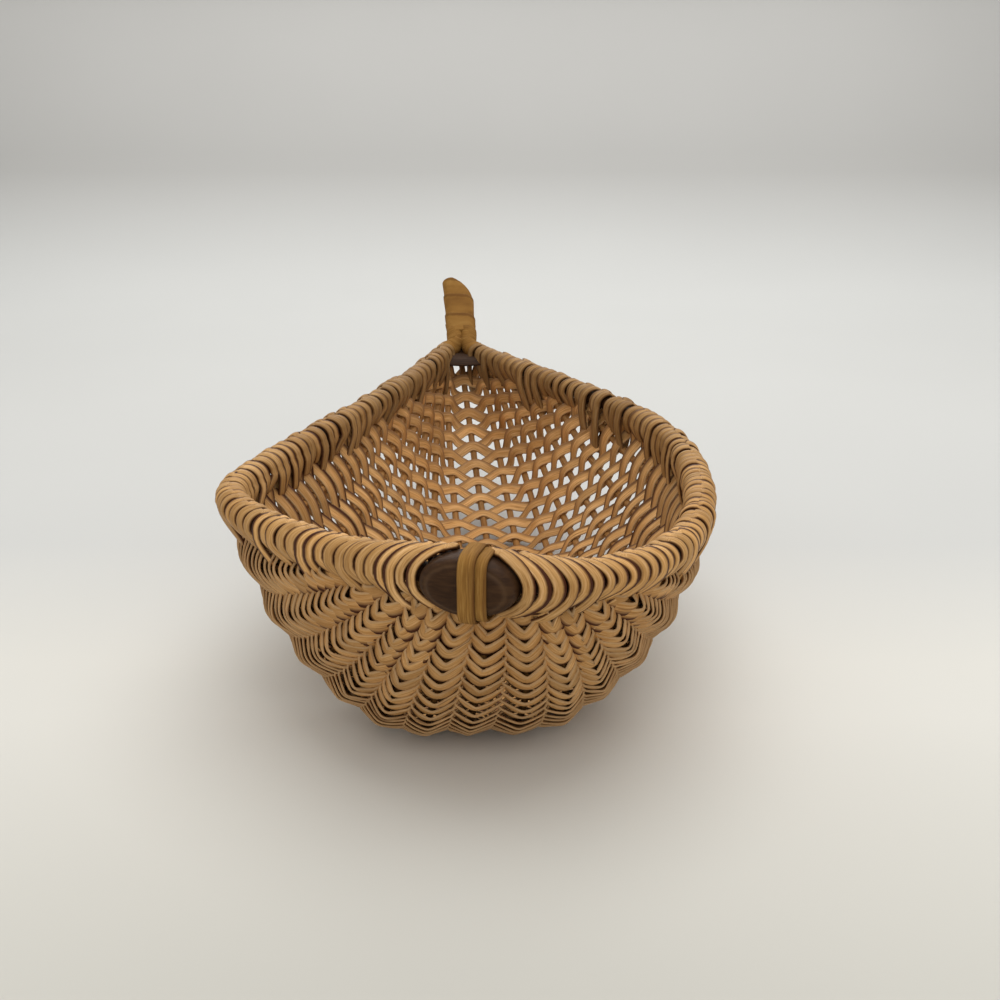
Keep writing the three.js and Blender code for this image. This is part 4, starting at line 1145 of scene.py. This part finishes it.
def lashingMesh(side):  # each leg is wrapped by itself up to the stem
    cane = lashingCane
    leg = halves[side]["leg"]
    end = halves[side]["turn"].length + cane["overlap"]
    marks = np.linspace(-cane["foot"], end, cane["guidePoints"])
    directions = leg.direction(np.maximum(marks, 0.0))
    across = unit(np.cross(directions, [0, 0, 1.0])) * side
    over = unit(np.cross(directions, across))
    over *= np.sign(over[:, 2:3])
    core = rimShape["rodRadius"] + cane["wall"]
    guide = {"points": leg.at(marks), "sideways": across, "upward": over, "downward": -over,
             "ahead": directions, "core": core / 1000, "tall": 0.0, "drop": 0.0, "spread": 0.0,
             "lean": cane["lean"], "halfWidth": cane["halfWidth"] / 1000}
    return growMesh(f"lashing{side}", [guide], trees["winding"], {
        "Turns": float(round((end + cane["foot"]) / cane["pitch"])), "Steps": cane["steps"],
        "Seed": cane["seed"] + side, **inputsFrom(cane, ("Pitch Growth", "Dark Side")),
        **inputsFrom(cane, ("Thickness", "Crown"), 0.001)}, materials["binding"])


def legPoint(side, mark):  # a mark below zero lies back on the rim
    if mark >= 0:
        return halves[side]["leg"].at([mark])[0]
    rim = halves[side]["rim"]
    return rim.at([rim.length + mark])[0]


def forkWeb():  # strips from leg to leg close the fork below the stem; their dark colour is painted shade for the hollow between the legs
    cane = lashingCane
    face = unit(np.array(cane["webFace"]))
    lines = []
    for mark in cane["webMarks"]:
        ends = [legPoint(side, mark) for side in (-1, 1)]
        share = np.linspace(0, 1, 13)[:, None]
        points = ends[0] + (ends[1] - ends[0]) * share
        points[:, 2] -= cane["webDrop"] + cane["webSag"] * np.sin(math.pi * share[:, 0])
        lines.append({"points": points, "outward": face, "face": face, "rise": 0.0,
                      "halfWidth": cane["webWidth"] / 2000,
                      "tone": cane["webTone"] + cane["webToneStep"] * mark})
    return growMesh("forkWeb", lines, trees["strip"], {
        "Seed": cane["webSeed"], **inputsFrom(cane, ("Thickness", "Crown"), 0.001)},
        materials["rod"])


setPiece("throat_lashing_cane", [lashingMesh(-1), lashingMesh(1), forkWeb()], "throat_lashing")
print("stem and throat wound")

bossShape = {
    "halfLength": 14.2, "halfHeight": 8.8, "depth": 9.0, "flatness": 5.0, "rings": 30,
    "segments": 64, "groove": 0.3, "grooveAt": 0.8, "grooveWidth": 0.05,
    "strapWidth": 5.0, "strapStep": 3.0, "strapShift": 2.5, "strapLift": 0.35,
    "strapGap": 0.1, "strapTone": 0.4, "strapToneStep": 0.2,
    "thickness": 0.8, "crown": 0.15, "darkSide": 0.5, "seed": 50,
}
bossDirection = hoop.direction([bossMark])[0]
bossFront = unit(np.cross(bossDirection, [0, 0, 1.0]))
bossUp = np.cross(bossDirection, bossFront)
bossUp *= np.sign(bossUp[2])
bossCentre = hoop.at([bossMark])[0]


def makeBoss():
    shape = bossShape
    points, ringHighlight = [], []
    rings, segments = shape["rings"], shape["segments"]
    for i in range(rings + 1):
        polar = math.pi / 2 * i / rings
        ringReach = math.sin(polar) ** (2 / shape["flatness"])
        forward = math.cos(polar) ** (2 / shape["flatness"])
        # band places the groove and the painted highlight ring
        band = math.exp(-((ringReach - shape["grooveAt"]) / shape["grooveWidth"]) ** 2)
        for k in range(segments):
            turn = 2 * math.pi * k / segments
            points.append(bossCentre
                          + bossDirection * shape["halfLength"] * ringReach * math.cos(turn)
                          + bossUp * shape["halfHeight"] * ringReach * math.sin(turn)
                          + bossFront * (shape["depth"] * forward - shape["groove"] * band))
            ringHighlight.append(band)
    back = tuple(range(rings * segments, (rings + 1) * segments))
    mesh = plainMesh("blossom_boss", points, [*ringFaces(rings + 1, segments), back],
                     materials["boss"], {"ring": np.array(ringHighlight)})
    setPiece("blossom_boss_wood", [mesh], "blossom_boss")


makeBoss()


def strapLine(shiftAlong, layer):
    shape = bossShape
    lift = shape["strapLift"] + layer * (shape["thickness"] + shape["strapGap"])
    turn = np.linspace(-math.pi, math.pi, 97)
    power = 2 / shape["flatness"]
    cosine, sine = np.cos(turn), np.sin(turn)
    forward = np.sign(cosine) * np.abs(cosine) ** np.where(cosine > 0, power, 1.0)
    upward = np.sign(sine) * np.abs(sine) ** power
    ahead = np.where(cosine > 0, shape["depth"], rimShape["rodRadius"])
    centre = hoop.at([bossMark + shiftAlong])[0]
    points = (centre + bossFront * (forward * (ahead + lift))[:, None]
              + bossUp * (upward * (shape["halfHeight"] + lift))[:, None])
    outward = np.cross(unit(np.gradient(points, axis=0)), bossDirection)
    outward *= np.sign(np.sum(outward * (points - centre), axis=1, keepdims=True))
    return {"points": points, "outward": outward, "face": outward, "rise": 0.0,
            "halfWidth": shape["strapWidth"] / 2000,
            "tone": shape["strapTone"] + shape["strapToneStep"] * layer}


for label, step, layer in (("over", -0.5, 1), ("under", 0.5, 0)):
    strap = strapLine(bossShape["strapShift"] + step * bossShape["strapStep"], layer)
    mesh = growMesh("boss_strap_" + label, [strap], trees["strip"], {
        "Seed": bossShape["seed"] + layer, **inputsFrom(bossShape, ("Dark Side",)),
        **inputsFrom(bossShape, ("Thickness", "Crown"), 0.001)}, materials["binding"])
    setPiece(f"boss_strap_{label}_cane", [mesh], "boss_strap_" + label)
print("boss and straps made")

# Table, light and camera
setting = {
    "cameraPlace": (0.0, -454.0, 200.1), "pitchDown": 19.0, "focalPixels": 1200.0,
    "imageWidth": 1000.0, "wallDistance": 1.5, "sweep": 0.8, "front": -3.0, "wallTop": 3.0,
    "halfWidth": 4.0, "sweepSteps": 24, "roughness": 0.8, "specular": 0.1,
    "worldStrength": 0.62, "worldColour": (1.0, 0.99, 0.97, 1.0),
    "firstColour": (200, 198, 190),
    # later colours, each blended in between two distances or heights in metres
    # the floor is lightest just around the basket's near end: painted light that lifts the basket's
    # shadow there
    "colours": [("away", -0.24, -0.11, (216, 214, 207)), ("away", -0.07, 0.05, (203, 203, 200)),
                ("away", 0.3, 1.3, (198, 199, 197)), ("height", 0.0, 0.1, (173, 172, 169)),
                ("height", 0.12, 0.3, (192, 191, 188))],
}
lamps = {
    "overhead": {"place": (0.12, 0.1, 1.25), "target": (0, 0, 0), "size": (1.2, 1.2),
                 "power": 9.3},
    "frontFill": {"place": (0.1, -1.2, 0.95), "target": (0, 0, 0.05), "size": (1.2, 0.9),
                  "power": 3.8},
    "backGlow": {"place": (0.0, 1.1, 0.75), "target": (0, 0.1, 0), "size": (1.4, 0.5),
                 "power": 5.0},
}


def floorMaterial():
    material, tree, shader = startMaterial("paleTable")
    spot = add(tree, "ShaderNodeTexCoord").outputs["Object"]
    _, away, height = add(tree, "ShaderNodeSeparateXYZ", {0: spot}).outputs
    reach = {"away": away, "height": height}
    base = linear(setting["firstColour"])
    # painted light: the floor's tone band near the basket offsets its shadow
    for direction, start, end, colour in setting["colours"]:
        base = mixColour(tree, mapped(tree, reach[direction], start, end), base, linear(colour))
    cloud = add(tree, "ShaderNodeTexNoise", {
        "Vector": spot, "Scale": 3.0, "Detail": 2.0}).outputs["Fac"]
    mottle = greyOf(tree, mapped(tree, cloud, 0.3, 0.7, 0.985, 1.015))
    tree.links.new(mixColour(tree, 1.0, base, mottle, "MULTIPLY"), shader.inputs["Base Color"])
    shader.inputs["Roughness"].default_value = setting["roughness"]
    shader.inputs["Specular IOR Level"].default_value = setting["specular"]
    return material


def makeFloor():
    sweep, wall, steps = setting["sweep"], setting["wallDistance"], setting["sweepSteps"]
    profile = [(setting["front"], 0.0), (wall - sweep, 0.0)]
    for i in range(1, steps + 1):
        turn = math.pi / 2 * i / steps
        profile.append((wall - sweep + sweep * math.sin(turn), sweep * (1 - math.cos(turn))))
    profile.append((wall, setting["wallTop"]))
    half = setting["halfWidth"]
    points = [(x, y, z) for y, z in profile for x in (-half, half)]
    faces = [(2 * i, 2 * i + 1, 2 * i + 3, 2 * i + 2) for i in range(len(profile) - 1)]
    mesh = bpy.data.meshes.new("table")
    mesh.from_pydata(points, [], faces)
    for polygon in mesh.polygons:
        polygon.use_smooth = True
    mesh.materials.append(floorMaterial())
    table = bpy.data.objects.new("table", mesh)
    bpy.context.scene.collection.objects.link(table)


makeFloor()


def areaLight(name, place, target, size, power):
    lamp = bpy.data.lights.new(name, "AREA")
    lamp.shape = "RECTANGLE"
    lamp.size, lamp.size_y = size
    lamp.energy = power
    piece = bpy.data.objects.new(name, lamp)
    piece.location = place
    piece.rotation_euler = (Vector(target) - Vector(place)).to_track_quat("-Z", "Y").to_euler()
    bpy.context.scene.collection.objects.link(piece)


for name, lamp in lamps.items():
    areaLight(name, **lamp)
print("table and lamps set")

world = bpy.data.worlds.new("studio")
world.use_nodes = True
backdrop = world.node_tree.nodes["Background"]
backdrop.inputs["Color"].default_value = setting["worldColour"]
backdrop.inputs["Strength"].default_value = setting["worldStrength"]
bpy.context.scene.world = world

camera = bpy.data.cameras.new("camera")
camera.sensor_width = 36.0
camera.lens = setting["focalPixels"] / setting["imageWidth"] * camera.sensor_width
camera.clip_start, camera.clip_end = 0.01, 50.0
cameraObject = bpy.data.objects.new("camera", camera)
cameraObject.location = toFrame([setting["cameraPlace"]])[0].tolist()
cameraObject.rotation_euler = (math.radians(90 - setting["pitchDown"]), 0, 0)
bpy.context.scene.collection.objects.link(cameraObject)
bpy.context.scene.camera = cameraObject
bpy.context.scene.view_settings.view_transform = "Standard"
